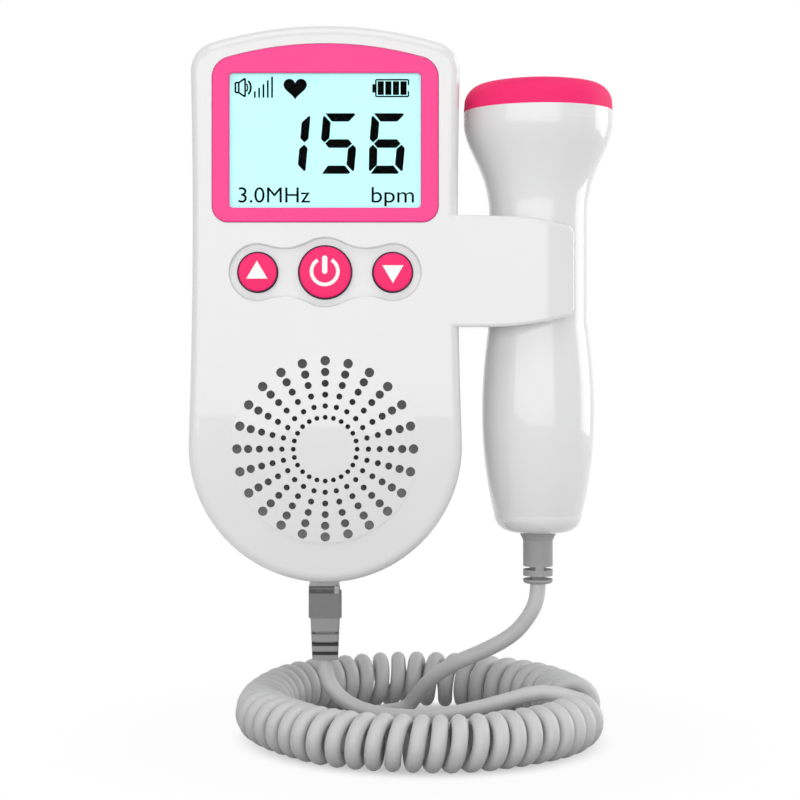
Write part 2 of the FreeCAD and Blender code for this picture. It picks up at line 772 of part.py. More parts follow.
def battery_contacts():
    """A plate at each end of each cell, with a cone of stacked turns where the cell's flat end rests."""
    pieces = []
    half_width = battery_diameter / 2 - 1.2
    for side in (-1, 1):
        x = side * cell_spacing / 2
        for end in (-1, 1):
            wall_z = bay_bottom_z if end < 0 else bay_top_z
            z0, z1 = sorted((wall_z, wall_z - end * contact_plate))
            piece = box(x - half_width, x + half_width, cell_y - half_width, cell_y + half_width, z0, z1)
            turn_height = (contact_space - contact_plate) / spring_turns
            if end == side:
                rings = []
                for turn in range(spring_turns):
                    radius = spring_radius - 0.9 * spring_wire * turn
                    z = wall_z - end * (contact_plate + (turn + 0.5) * turn_height)
                    disc = rod_z(x, cell_y, radius, z - turn_height / 2, z + turn_height / 2)
                    middle = rod_z(x, cell_y, radius - spring_wire, z - turn_height, z + turn_height)
                    rings.append(disc.cut(middle))
                piece = fuse(piece, *rings)
            else:
                z0, z1 = sorted((wall_z - end * contact_plate, wall_z - end * contact_space))
                piece = fuse(piece, rod_z(x, cell_y, spring_radius / 2, z0, z1))
            pieces.append(piece)
    return pieces


def case_screws():
    half_cross = 0.6 * case_screw_head_radius
    half_slot = 0.3
    top_y = -case_screw_sunk + case_screw_head
    screws = []
    for x, z in boss_places:
        head = rod_y(x, z, case_screw_head_radius, -case_screw_sunk, top_y)
        shank = rod_y(x, z, case_screw_radius, screw_end_y, -case_screw_sunk)
        slot_a = box(x - half_cross, x + half_cross, top_y - 0.8, 0, z - half_slot, z + half_slot)
        slot_b = box(x - half_slot, x + half_slot, top_y - 0.8, 0, z - half_cross, z + half_cross)
        screws.append(cut(fuse(head, shank), slot_a, slot_b))
    return screws


# ---- keys and board ----------------------------------------------------------------------------------
key_flange_y = inner_front_y + key_flange_gap
key_back_y = key_flange_y + key_flange_thickness
switch_top_y = key_back_y + key_travel + switch_gap


def key(x, radius):
    face_y = front_y - key_proud
    cap = rod_y(x, key_z, radius, face_y, key_back_y)
    rim = [e for e in cap.Edges if abs(e.CenterOfMass.y - face_y) < 0.01 and e.BoundBox.XLength > radius]
    cap = cap.makeFillet(key_rim_round, rim)
    return fuse(cap, rod_y(x, key_z, radius + key_flange, key_flange_y, key_back_y))


def tact_switches():
    half = switch_size / 2
    switches = []
    for x, _ in keys.values():
        case = box(x - half, x + half, board_front_y - switch_case, board_front_y, key_z - half, key_z + half)
        button = rod_y(x, key_z, switch_button_radius, switch_top_y, board_front_y - switch_case / 2)
        switches.append(fuse(case, button))
    return switches


def circuit_board():
    plate = box(-board_half_width, board_half_width, board_front_y, board_back_y, board_bottom_z, board_top_z)
    holes = [rod_y(x, z, board_screw_radius + fit_gap, board_front_y - overrun, board_back_y + overrun)
             for x, z in board_screw_places]
    return cut(plate, *holes)


def board_screws():
    half_cross = 0.6 * board_screw_head_radius
    half_slot = 0.25
    top_y = board_back_y + board_screw_head
    screws = []
    for x, z in board_screw_places:
        head = rod_y(x, z, board_screw_head_radius, board_back_y, top_y)
        shank = rod_y(x, z, board_screw_radius, board_front_y - board_screw_length, board_back_y)
        slot = box(x - half_cross, x + half_cross, top_y - 0.5, top_y + overrun, z - half_slot, z + half_slot)
        screws.append(cut(fuse(head, shank), slot))
    return screws


def board_chips():
    """Processor, display driver and amplifier, the socket of the battery wires and a buffer capacitor."""
    def block(x, z, width, height, thickness):
        return box(x - width / 2, x + width / 2, board_back_y, board_back_y + thickness,
                   z - height / 2, z + height / 2)

    processor = block(-processor_shift, key_z + processor_rise, processor_side, processor_side,
                      processor_thickness)
    driver = block(driver_shift, key_z + driver_rise, driver_width, driver_height, chip_thickness)
    amplifier = block(-amplifier_shift, key_z + amplifier_rise, amplifier_width, amplifier_height,
                      chip_thickness)
    socket = block(0, key_z - wire_socket_drop, wire_socket_width, wire_socket_height, wire_socket_thickness)
    capacitor = rod_y(capacitor_shift, key_z + capacitor_rise, capacitor_radius, board_back_y,
                      board_back_y + capacitor_height)
    return [processor, driver, amplifier, socket, capacitor]


def speaker():
    """Mesh, steel frame, paper cone and magnet, from front to back."""
    back = Vector(0, 1, 0)
    mesh_back = speaker_seat_y + mesh_thickness
    rim_back = mesh_back + speaker_rim_thickness
    basket_back = rim_back + basket_depth
    rim_radius = speaker_radius - speaker_rim
    inside_radius = rim_radius - basket_wall
    mesh = rod_y(0, grille_z, speaker_radius, speaker_seat_y, mesh_back)
    rim = rod_y(0, grille_z, rim_radius, mesh_back, rim_back)
    basket = Part.makeCone(rim_radius - speaker_rim_thickness, speaker_magnet_radius + basket_wall,
                           basket_depth, Vector(0, rim_back, grille_z), back)
    hollow = Part.makeCone(inside_radius, speaker_magnet_radius, basket_depth,
                           Vector(0, mesh_back, grille_z), back)
    frame = fuse(rim, basket).cut(hollow)
    cone_front = mesh_back + fit_gap
    cone_outer = Part.makeCone(inside_radius - 4 * fit_gap, cone_centre_radius, cone_depth,
                               Vector(0, cone_front, grille_z), back)
    cone_inner = Part.makeCone(inside_radius - 4 * fit_gap - cone_wall, cone_centre_radius - cone_wall,
                               cone_depth, Vector(0, cone_front - cone_wall / 2, grille_z), back)
    dust_cap = rod_y(0, grille_z, cone_centre_radius, cone_front + cone_depth - cone_wall,
                     cone_front + cone_depth)
    cone = fuse(cone_outer.cut(cone_inner), dust_cap)
    magnet = rod_y(0, grille_z, speaker_magnet_radius, basket_back, basket_back + speaker_magnet_height)
    return mesh, frame, cone, magnet


# ---- plug --------------------------------------------------------------------------------------------
nose_bottom_z = bottom_z - nose_visible
hood_bottom_z = nose_bottom_z - hood_height
boot_bottom_z = hood_bottom_z - boot_height
contact_places = [(index - 1.5) * contact_pitch for index in range(4)]
nose_front_y = seam_y - nose_thickness / 2
groove_depth = 0.9
blade_sunk = 0.3
blade_inset = 0.8


def plug_body():
    nose = box(-nose_width / 2, nose_width / 2, nose_front_y, seam_y + nose_thickness / 2,
               nose_bottom_z, nose_top_z)
    half = blade_width / 2 + fit_gap
    grooves = [box(x - half, x + half, nose_front_y - overrun, nose_front_y + groove_depth,
                   nose_bottom_z + blade_inset / 2, nose_top_z + overrun) for x in contact_places]
    return cut(nose, *grooves)


def plug_contacts():
    half = blade_width / 2
    return [box(x - half, x + half, nose_front_y + blade_sunk, nose_front_y + groove_depth,
                nose_bottom_z + blade_inset, nose_top_z - blade_inset) for x in contact_places]


def jack_contacts():
    """Four spring wires in the roof of the socket, just in front of the plug's blades."""
    half = blade_width / 2 - fit_gap / 2
    roof_y = nose_front_y - nose_gap
    return [box(x - half, x + half, roof_y - jack_wall / 2, roof_y, nose_top_z - jack_depth / 1.5, nose_top_z)
            for x in contact_places]


def plug_hood():
    half_x = hood_width / 2
    half_y = hood_thickness / 2
    hood = box(-half_x, half_x, seam_y - half_y, seam_y + half_y, hood_bottom_z, nose_bottom_z)
    upright = [e for e in hood.Edges if e.BoundBox.ZLength > hood_height / 2]
    return hood.makeFillet(hood_round, upright)


def plug_boot():
    """Tapered, ribbed end of the hood."""
    def rectangle(width, z):
        half_x = width / 2
        half_y = width / 2 - 0.2
        corners = [Vector(-half_x, seam_y - half_y, z), Vector(half_x, seam_y - half_y, z),
                   Vector(half_x, seam_y + half_y, z), Vector(-half_x, seam_y + half_y, z)]
        return Part.makePolygon(corners + corners[:1])

    boot = Part.makeLoft([rectangle(boot_top_width, hood_bottom_z),
                          rectangle(boot_bottom_width, boot_bottom_z)], True, True)
    upright = [e for e in boot.Edges if e.BoundBox.ZLength > boot_height / 2]
    boot = boot.makeFillet(boot_round, upright)
    grooves = []
    half_core = cord_diameter / 2
    half_groove = boot_groove / 2
    for share in (0.36, 0.60, 0.83):
        z = hood_bottom_z - boot_height * share
        core = box(-half_core - boot_side_skin, half_core + boot_side_skin, seam_y - half_core,
                   seam_y + half_core, z - half_groove, z + half_groove)
        ring = box(-boot_top_width, boot_top_width, seam_y - boot_top_width, seam_y + boot_top_width,
                   z - half_groove, z + half_groove)
        grooves.append(ring.cut(core))
    return cut(boot, *grooves)


# ---- probe -------------------------------------------------------------------------------------------
neck_top_z = clip_top_z + neck_overlap
neck_bottom_z = clip_bottom_z + grip_start
flare_top_z = neck_top_z + head_flare
cap_z = flare_top_z + head_band
swell_z = neck_bottom_z - grip_swell
tail_z = swell_z - grip_taper
probe_bottom_z = tail_z - tail_corner


def bezier(points):
    curve = Part.BezierCurve()
    curve.setPoles([Vector(probe_x + radius, probe_y, z) for radius, z in points])
    return curve.toShape()


def probe_point(radius, z):
    return Vector(probe_x + radius, probe_y, z)


def handle_solid(skin):
    """The probe handle as a solid of revolution, drawn in by skin."""
    head = head_radius - skin
    neck = neck_radius - skin
    grip = grip_radius - skin
    tail = tail_radius - skin
    rise = head_flare
    floor_z = probe_bottom_z + skin
    corner = max(tail_corner - skin, 0.3)
    base_z = floor_z + corner
    mid = corner * (1 - math.sqrt(0.5))
    edges = [line(probe_point(0, cap_z), probe_point(head, cap_z)),
             line(probe_point(head, cap_z), probe_point(head, flare_top_z)),
             bezier([(head, flare_top_z), (head - 0.05 * (head - neck), neck_top_z + 0.70 * rise),
                     (neck, neck_top_z + 0.5 * rise), (neck, neck_top_z)]),
             line(probe_point(neck, neck_top_z), probe_point(neck, neck_bottom_z)),
             bezier([(neck, neck_bottom_z), (neck + 0.34 * (grip - neck), neck_bottom_z - 0.19 * grip_swell),
                     (grip, neck_bottom_z - 0.56 * grip_swell), (grip, swell_z)]),
             bezier([(grip, swell_z), (grip, swell_z - 0.33 * grip_taper),
                     (tail + 0.71 * (grip - tail), swell_z - 0.665 * grip_taper), (tail, base_z)]),
             arc(probe_point(tail, base_z), probe_point(tail - mid, floor_z + mid),
                 probe_point(tail - corner, floor_z)),
             line(probe_point(tail - corner, floor_z), probe_point(0, floor_z)),
             line(probe_point(0, floor_z), probe_point(0, cap_z))]
    return Part.Face(Part.Wire(edges)).revolve(Vector(probe_x, probe_y, 0), Vector(0, 0, 1), 360)


def probe_shell(half):
    """One half of the handle, split on the plane through its axis."""
    body = handle_solid(0).cut(handle_solid(probe_wall))
    mouth = rod_z(probe_x, probe_y, head_radius - probe_wall, cap_z - probe_wall, cap_z + overrun)
    bore = rod_z(probe_x, probe_y, relief_neck_radius + fit_gap, probe_bottom_z - overrun,
                 probe_bottom_z + probe_wall + overrun)
    return cut(body, mouth, bore).common(half)


def probe_cap():
    """The cap with its skirt, and its solid crown, from which the contact disc is cut."""
    edge_z = cap_z + cap_edge_height
    shoulder_z = cap_z + cap_shoulder_height
    top = cap_z + cap_height
    side = head_radius - 0.2
    shoulder = head_radius - cap_shoulder_inset
    dome_drop = top - shoulder_z
    dome = (shoulder**2 + dome_drop**2) / (2 * dome_drop)
    halfway_z = top - dome + math.sqrt(dome**2 - (shoulder / 2)**2)
    bulge = probe_point(side - 0.28 * cap_shoulder_inset, (edge_z + shoulder_z) / 2 + 0.5)
    edges = [line(probe_point(0, cap_z), probe_point(head_radius, cap_z)),
             line(probe_point(head_radius, cap_z), probe_point(side, edge_z)),
             arc(probe_point(side, edge_z), bulge, probe_point(shoulder, shoulder_z)),
             arc(probe_point(shoulder, shoulder_z), probe_point(shoulder / 2, halfway_z),
                 probe_point(0, top)),
             line(probe_point(0, top), probe_point(0, cap_z))]
    crown = Part.Face(Part.Wire(edges)).revolve(Vector(probe_x, probe_y, 0), Vector(0, 0, 1), 360)
    skirt = rod_z(probe_x, probe_y, skirt_radius, cap_z - cap_skirt_depth, cap_z + overrun)
    inside = rod_z(probe_x, probe_y, skirt_radius - cap_wall, cap_z - cap_skirt_depth - overrun,
                   lens_bottom_z)
    return fuse(crown, skirt).cut(inside), crown


skirt_radius = head_radius - probe_wall - fit_gap
lens_bottom_z = cap_z + lens_seat
crystal_radius = lens_radius - crystal_margin


def relief():
    """Strain relief: barb, flange, slotted neck and end disc, on the probe's axis."""
    z = probe_bottom_z
    x, y = probe_x, probe_y
    barb_z = z + probe_wall + fit_gap
    body = [rod_z(x, y, relief_barb_radius, barb_z, barb_z + relief_barb_height),
            rod_z(x, y, relief_neck_radius, z, barb_z + relief_barb_height),
            Part.makeCone(relief_radius, relief_flange_radius, relief_flange_height,
                          Vector(x, y, z - relief_flange_height), Vector(0, 0, 1)),
            rod_z(x, y, relief_radius, z - relief_length, z - relief_flange_height)]
    solid = fuse(*body)
    foot = [e for e in solid.Edges if abs(e.CenterOfMass.z - (z - relief_length)) < 0.01]
    solid = solid.makeFillet(0.2 * relief_radius, foot)
    first = z - 0.70 * relief_length
    second = z - 0.885 * relief_length
    half_slot = relief_slot / 2
    half_web = relief_web / 2
    outside = 2 * relief_radius
    web = box(x - half_web, x + half_web, y - outside, y + outside, second, z)
    core = rod_z(x, y, relief_core_radius, z - relief_length, z)
    slot_a = rod_z(x, y, outside, first - half_slot, first + half_slot).cut(web)
    slot_b = rod_z(x, y, outside, second - half_slot, second + half_slot)
    return cut(solid, slot_a.cut(core), slot_b.cut(core))


def crystals():
    """The sending and the receiving half disc, glued to the back of the contact disc."""
    plates = []
    disc = rod_z(probe_x, probe_y, crystal_radius, lens_bottom_z - crystal_thickness, lens_bottom_z)
    for side in (-1, 1):
        x0, x1 = sorted((probe_x + side * crystal_split / 2, probe_x + side * head_radius))
        half = box(x0, x1, probe_y - head_radius, probe_y + head_radius, cap_z, cap_z + cap_height)
        plates.append(disc.common(half))
    return plates


def crystal_cup():
    """Ring that carries the contact disc and the crystals inside the cap."""
    ring = rod_z(probe_x, probe_y, skirt_radius - cap_wall - fit_gap, cap_z - cup_depth, lens_bottom_z)
    seat = rod_z(probe_x, probe_y, crystal_radius + fit_gap, lens_bottom_z - crystal_thickness - fit_gap,
                 lens_bottom_z + overrun)
    hollow = rod_z(probe_x, probe_y, crystal_radius - cup_ledge, cap_z - cup_depth - overrun, lens_bottom_z)
    return cut(ring, seat, hollow)


def probe_board():
    """The amplifier board, whose edges rest in the neck and in the lower taper."""
    half = neck_radius - probe_wall - 2 * fit_gap
    half_thickness = probe_board_thickness / 2
    return box(probe_x - half, probe_x + half, probe_y - half_thickness, probe_y + half_thickness,
               tail_z + grip_taper / 2, neck_top_z)


# ---- lead --------------------------------------------------------------------------------------------
unit_route = [Vector(0.0, seam_y, boot_bottom_z), Vector(0.0, seam_y, -119.6), Vector(1.5, -18.2, -123.4),
              Vector(5.2, -19.8, -126.8), Vector(11.4, -22.2, -128.8), Vector(20.6, -24.8, -129.4),
              Vector(32.4, -27.6, -127.2), Vector(45.2, -29.7, -123.9), Vector(58.0, -31.4, -121.6)]
probe_route = [Vector(probe_x, probe_y, probe_bottom_z - relief_length), Vector(probe_x, probe_y, -101.4),
               Vector(49.8, -17.1, -106.4), Vector(46.0, -14.8, -111.2), Vector(39.4, -11.6, -115.4),
               Vector(32.0, -8.0, -119.6), Vector(26.8, -3.4, -124.4), Vector(24.0, 1.4, -128.6),
               Vector(20.4, 6.2, -131.9), Vector(14.6, 9.0, -133.4), Vector(7.8, 7.6, -133.4),
               Vector(2.6, 2.6, -133.4), Vector(0.8, -4.4, -133.4), Vector(3.0, -11.4, -133.4),
               Vector(8.8, -16.2, -133.4), Vector(16.6, -17.9, -133.4), Vector(28.6, -16.6, -133.4),
               Vector(42.0, -14.0, -133.4), Vector(58.0, -10.4, -133.4)]


def cord_tube(name, points):
    """A tube of the cord's diameter along straight runs joined by arcs that touch them."""
    runs = [(b - a).Length for a, b in zip(points, points[1:])]
    edges = []
    at = points[0]
    radii = []
    for index in range(1, len(points) - 1):
        before = (points[index] - points[index - 1]).normalize()
        after = (points[index + 1] - points[index]).normalize()
        turn = before.getAngle(after)
        reach = 0.45 * min(runs[index - 1], runs[index])
        radius = reach / math.tan(turn / 2)
        radii.append(round(radius, 1))
        start = points[index] - before * reach
        end = points[index] + after * reach
        inward = (after - before).normalize()
        middle = points[index] + inward * (radius / math.cos(turn / 2) - radius)
        edges += [line(at, start), arc(start, middle, end)]
        at = end
    edges.append(line(at, points[-1]))
    path = Part.Wire(edges)
    heading = points[1] - points[0]
    section = Part.Wire(Part.makeCircle(cord_diameter / 2, points[0], heading))
    tube = path.makePipeShell([section], True, False)
    expected = math.pi * cord_diameter**2 / 4 * path.Length
    print(name, "length", round(path.Length, 1), "radii", radii, "volume over section x length",
          round(tube.Volume / expected, 4))
    return tube


def coil_ring(grow=0.0):
    """The curly part laid in a ring, as one fat tube of its outer diameter."""
    start = math.radians(ring_start_angle)
    centre = ring_centre + Vector(ring_radius * math.cos(start), -ring_radius * math.sin(start), 0)
    along = Vector(-math.sin(start), -math.cos(start), 0)
    section = Part.Face(Part.Wire(Part.makeCircle(coil_outer_diameter / 2 + grow, centre, along)))
    return section.revolve(ring_centre, Vector(0, 0, -1), ring_end_angle - ring_start_angle)


# ---- write every piece -------------------------------------------------------------------------------
os.makedirs("parts", exist_ok=True)

save("front_shell", front_shell())
save("rear_shell", rear_shell())
save("battery_cover", battery_cover())
save("case_screws", *case_screws())

save("display_bezel", display_bezel())
save("display_window", window_box(window_seat - fit_gap, window_front_y, bezel_back_y))
save("lcd_panel", window_box(0, lcd_front_y, lcd_back_y))
half_backlight = board_screw_x - board_boss_radius - backlight_side_gap
save("backlight_frame", box(-half_backlight, half_backlight, lcd_back_y, board_front_y,
                            window_mid_z - backlight_height / 2, window_mid_z + backlight_height / 2))

for key_name, (key_x, key_radius) in keys.items():
    save(key_name, key(key_x, key_radius))
save("tact_switches", *tact_switches())
save("circuit_board", circuit_board())
save("board_screws", *board_screws())
save("board_chips", *board_chips())

speaker_mesh, speaker_frame, speaker_cone, speaker_magnet = speaker()
save("speaker_mesh", speaker_mesh)
save("speaker_frame", speaker_frame)
save("speaker_cone", speaker_cone)
save("speaker_magnet", speaker_magnet)

save("aa_batteries", *batteries())
save("battery_contacts", *battery_contacts())
save("headphone_jack", headphone_jack())
save("probe_jack", cut(probe_jack(), *jack_contacts()))
save("jack_contacts", *jack_contacts())

save("plug_body", plug_body())
save("plug_contacts", *plug_contacts())
save("plug_hood", plug_hood())
save("plug_boot", plug_boot())

probe_front = box(-far, far, probe_y - far, probe_y, -far, far)
probe_rear = box(-far, far, probe_y, probe_y + far, -far, far)
save("probe_front_shell", probe_shell(probe_front))
save("probe_rear_shell", probe_shell(probe_rear))
cap, crown = probe_cap()
above_cap_z = cap_z + cap_height + overrun
save("probe_cap", cap.cut(rod_z(probe_x, probe_y, lens_radius + fit_gap, cap_z, above_cap_z)))
save("acoustic_face", crown.common(rod_z(probe_x, probe_y, lens_radius, lens_bottom_z, above_cap_z)))
save("transducer_crystals", *crystals())
save("crystal_cup", crystal_cup())
save("probe_board", probe_board())
save("strain_relief", relief())

save("unit_lead", cord_tube("unit_lead", unit_route).cut(coil_ring(0.05)))
save("cord_coil", coil_ring())
save("probe_lead", cord_tube("probe_lead", probe_route).cut(coil_ring(0.05)))
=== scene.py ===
"""The looks of a fetal doppler monitor, in metres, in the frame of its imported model.

X runs to the right, Z up, and Y from the front of the hand unit to its back. The sections follow the object
as it is put together, after the view that it stands in.
"""
import math

import bmesh
import bpy
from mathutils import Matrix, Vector


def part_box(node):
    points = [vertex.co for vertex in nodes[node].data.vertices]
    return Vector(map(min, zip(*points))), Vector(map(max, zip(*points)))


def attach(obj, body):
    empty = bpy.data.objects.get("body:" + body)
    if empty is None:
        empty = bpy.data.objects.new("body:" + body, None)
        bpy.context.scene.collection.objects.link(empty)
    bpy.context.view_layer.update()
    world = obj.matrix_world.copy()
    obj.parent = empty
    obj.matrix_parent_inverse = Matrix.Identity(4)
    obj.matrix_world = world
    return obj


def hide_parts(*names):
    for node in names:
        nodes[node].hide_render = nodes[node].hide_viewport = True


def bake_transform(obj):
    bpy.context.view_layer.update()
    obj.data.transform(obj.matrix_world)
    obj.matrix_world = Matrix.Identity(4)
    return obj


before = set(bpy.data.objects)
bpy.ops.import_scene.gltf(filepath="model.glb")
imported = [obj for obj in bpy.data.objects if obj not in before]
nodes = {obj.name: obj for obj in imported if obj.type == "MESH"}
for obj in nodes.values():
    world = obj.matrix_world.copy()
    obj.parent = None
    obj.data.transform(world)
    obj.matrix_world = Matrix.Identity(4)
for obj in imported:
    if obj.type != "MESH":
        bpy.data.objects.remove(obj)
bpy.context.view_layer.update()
scene = bpy.context.scene
mm = 0.001

# ---- camera --------------------------------------------------------------------------------------------
# A long lens looks level at the front of the unit from a little under half a metre.
view = bpy.data.cameras.new("camera")
view.lens = 81
view.sensor_width = 36
view.shift_x = 0.0935
view.shift_y = -0.05875
view.clip_start = 0.01
camera = bpy.data.objects.new("camera", view)
camera.location = (0, -0.4585, -0.0414)
camera.rotation_euler = (math.radians(90), 0, 0)
scene.collection.objects.link(camera)
scene.camera = camera
scene.view_settings.view_transform = "Standard"

# ---- lamps and studio walls ----------------------------------------------------------------------------
# A wide soft panel stands in front, more to the left, and reaches down almost to the floor. One hangs above,
# and one stands behind on the right for a bright edge on the probe. White walls give an even light all round.
wall_light = 0.32           # on the object. Where the walls are seen, their strength is 1.


def lamp(name, place, target, width, height, power):
    """A soft rectangular lamp that faces its target."""
    light = bpy.data.lights.new(name, "AREA")
    light.shape = "RECTANGLE"
    light.size = width
    light.size_y = height
    light.energy = power
    made = bpy.data.objects.new(name, light)
    made.location = place
    made.rotation_euler = (Vector(target) - Vector(place)).to_track_quat("-Z", "Y").to_euler()
    scene.collection.objects.link(made)


lamp("front_panel", place=(-0.35, -0.85, 0.108), target=(-0.35, 0, 0.108),
     width=1.65, height=0.476, power=4.1)
lamp("overhead_panel", place=(0.05, -0.42, 0.85), target=(0.02, 0, -0.08),
     width=0.9, height=0.7, power=3.05)
lamp("right_panel", place=(0.80, 0.24, 0.1), target=(0.05, 0, -0.03),
     width=0.5, height=0.9, power=3.2)

world = bpy.data.worlds.new("studio_walls")
world.use_nodes = True
scene.world = world
walls = world.node_tree
ray = walls.nodes.new("ShaderNodeLightPath")
seen = walls.nodes.new("ShaderNodeMath")
seen.operation = "MAXIMUM"
walls.links.new(ray.outputs["Is Camera Ray"], seen.inputs[0])
walls.links.new(ray.outputs["Is Glossy Ray"], seen.inputs[1])
seen_or_through = walls.nodes.new("ShaderNodeMath")
seen_or_through.operation = "MAXIMUM"
walls.links.new(seen.outputs[0], seen_or_through.inputs[0])
walls.links.new(ray.outputs["Is Transmission Ray"], seen_or_through.inputs[1])
level = walls.nodes.new("ShaderNodeMapRange")
level.inputs["To Min"].default_value = wall_light
walls.links.new(seen_or_through.outputs[0], level.inputs["Value"])
background = walls.nodes["Background"]
background.inputs["Color"].default_value = (1, 1, 1, 1)
walls.links.new(level.outputs["Result"], background.inputs["Strength"])


# ---- floor ---------------------------------------------------------------------------------------------
# A plain white sheet that the coil lies on. It glows where it is looked at, wholly at a distance, and only a
# faint real shadow shows under the object. Inside the ring of the lead it glows less over a near-black
# colour: painted shade.
class Value:
    """One output among a finish's nodes. Arithmetic on it adds Math nodes."""

    def __init__(self, finish, socket):
        self.finish = finish
        self.socket = socket

    def math(self, operation, first, second):
        return self.finish.node("ShaderNodeMath", {"operation": operation}, {0: first, 1: second})

    def __add__(self, other):
        return self.math("ADD", self, other)

    def __mul__(self, other):
        return self.math("MULTIPLY", self, other)

    def __gt__(self, other):
        return self.math("GREATER_THAN", self, other)

    def __lt__(self, other):
        return self.math("LESS_THAN", self, other)

    __radd__ = __add__
    __rmul__ = __mul__


class Finish:
    """A material: its Principled shader and the nodes that feed it."""

    def __init__(self, name, **sockets):
        self.material = bpy.data.materials.new(name)
        self.material.use_nodes = True
        self.tree = self.material.node_tree
        self.shader = self.tree.nodes["Principled BSDF"]
        self.place = self.node("ShaderNodeTexCoord", output="Object")
        self.set(**sockets)

    def set(self, **sockets):
        """Sets sockets of the Principled shader: Base_Color stands for Base Color."""
        self.feed(self.shader, {key.replace("_", " "): value for key, value in sockets.items()})

    def feed(self, made, inputs):
        for key, value in inputs.items():
            if isinstance(value, Value):
                self.tree.links.new(value.socket, made.inputs[key])
            elif isinstance(value, tuple) and len(value) == 3 and len(made.inputs[key].default_value) == 4:
                made.inputs[key].default_value = (*value, 1)
            else:
                made.inputs[key].default_value = value

    def node(self, kind, settings=None, inputs=None, output=0):
        """Adds a node of that type, sets it, then its inputs, and gives one of its outputs."""
        made = self.tree.nodes.new(kind)
        for key, value in (settings or {}).items():
            setattr(made, key, value)
        self.feed(made, inputs or {})
        return Value(self, made.outputs[output])

    def noise(self, size, detail=2.0):
        """Soft noise from 0 to 1, whose lumps are about that many metres across."""
        return self.node("ShaderNodeTexNoise", None, {
            "Vector": self.place, "Scale": 1 / size, "Detail": detail})

    def mix(self, share, first, second):
        """One colour, or another, or a share of both."""
        return self.node("ShaderNodeMix", {"data_type": "RGBA"}, {0: share, 6: first, 7: second}, 2)

    def bump(self, height, depth):
        """A normal from a height of 0 to 1 that stands for that many metres."""
        return self.node("ShaderNodeBump", None, {"Distance": depth, "Height": height})


floor_z = -135.3 * mm
ring_centre = Vector((23.5, -17.5, 0)) * mm
shadow_share = 0.035        # of the sheet's own light and shade, right under the object
ring_shade = 0.50           # how much of the glow is left inside the ring of the lead; the rest is painted shade
# distances from the ring's centre
shadow_near, shadow_far = 50 * mm, 120 * mm         # between them the shadow of the object fades
ring_inside, ring_outside = 36 * mm, 47 * mm        # and between these the painted shade in the ring, under the coil
bounce_far = 84 * mm        # the sheet is painted near-black inside the ring, as shade that throws no light up, and white from here on

sheet = bmesh.new()
bmesh.ops.create_grid(sheet, x_segments=1, y_segments=1, size=6)
bmesh.ops.translate(sheet, verts=sheet.verts, vec=(0, 0, floor_z))
mesh = bpy.data.meshes.new("floor")
sheet.to_mesh(mesh)
floor = bpy.data.objects.new("floor", mesh)
scene.collection.objects.link(floor)

white_sheet = Finish("white_sheet", Roughness=0.9)
glow = white_sheet.node("ShaderNodeEmission", None, {"Strength": 1.0})
looked_at = white_sheet.node("ShaderNodeLightPath", output="Is Camera Ray")
mirrored = white_sheet.node("ShaderNodeLightPath", output="Is Glossy Ray")
away = white_sheet.node("ShaderNodeVectorMath", {"operation": "DISTANCE"}, {
    0: white_sheet.place, 1: (ring_centre.x, ring_centre.y, floor_z)}, output="Value")
plain = white_sheet.node("ShaderNodeMapRange", {"interpolation_type": "SMOOTHSTEP"}, {
    "Value": away, "From Min": shadow_near, "From Max": shadow_far,
    "To Min": 1 - shadow_share, "To Max": 1.0})
painted_dark_ring = white_sheet.node("ShaderNodeMapRange", {"interpolation_type": "SMOOTHSTEP"}, {
    "Value": away, "From Min": ring_inside, "From Max": bounce_far})
open_white = white_sheet.mix(white_sheet.noise(0.4), (0.84, 0.84, 0.84), (0.88, 0.88, 0.88))
# the sheet's colour is painted near-black inside the ring: painted shade under the coil
white_sheet.set(Base_Color=white_sheet.mix(painted_dark_ring, (0.06, 0.06, 0.06), open_white))
# inside the ring less glow shows and more of the near-black colour: painted shade
ring_painted_shade = white_sheet.node("ShaderNodeMapRange", {"interpolation_type": "SMOOTHSTEP"}, {
    "Value": away, "From Min": ring_inside, "From Max": ring_outside, "To Min": ring_shade, "To Max": 1.0})
shaded = Value(white_sheet, white_sheet.shader.outputs[0])
shared = white_sheet.node("ShaderNodeMixShader", None, {
    0: (looked_at + mirrored) * plain * ring_painted_shade, 1: shaded, 2: glow})
white_sheet.tree.links.new(shared.socket, white_sheet.tree.nodes["Material Output"].inputs["Surface"])
mesh.materials.append(white_sheet.material)

# ---- curly lead ----------------------------------------------------------------------------------------
# One round four-core cord in grey rubber. A short plain lead hangs from the unit's plug to the ring, goes
# over its edge and becomes a helix of close turns that lies on the floor as that ring.
cord_width = 3.8 * mm
ring_radius = 38.5 * mm
coil_width = 13.65 * mm     # over the turns, at the sides of the ring
coil_spread = 0.65 * mm     # how much wider they are at the back and narrower at the front
turn_points = 16
turns = 48.5
start_angle = 20.0          # degrees, from the right towards the front
mean_pitch = 6.87           # degrees of the ring for one turn
back_stretch = 0.5          # how much wider the turns lie at the back and closer at the front
first_stretch = 1.5         # the first turn leaves room for the lead
# the turns are a little uneven: how much, and how far that goes round in one turn, in radians
swell_size, swell_rate = 0.012, 2.3
ripple_size, ripple_rate = 0.010, 5.1
sway_size, sway_rate = 0.4 * mm, 0.9
crowd_size, crowd_rate = 0.35, 1.7
unit_route = [(0, -17.5, -116.1), (0, -17.5, -119.6), (1.5, -18.2, -123.4), (5.2, -19.8, -126.8),
              (11.4, -22.2, -128.8), (20.6, -24.8, -129.4), (32.4, -27.4, -127.7), (44.6, -28.6, -124.1),
              (52, -28.6, -121.9)]
join = Vector((57.8, -15.0, -133.4)) * mm


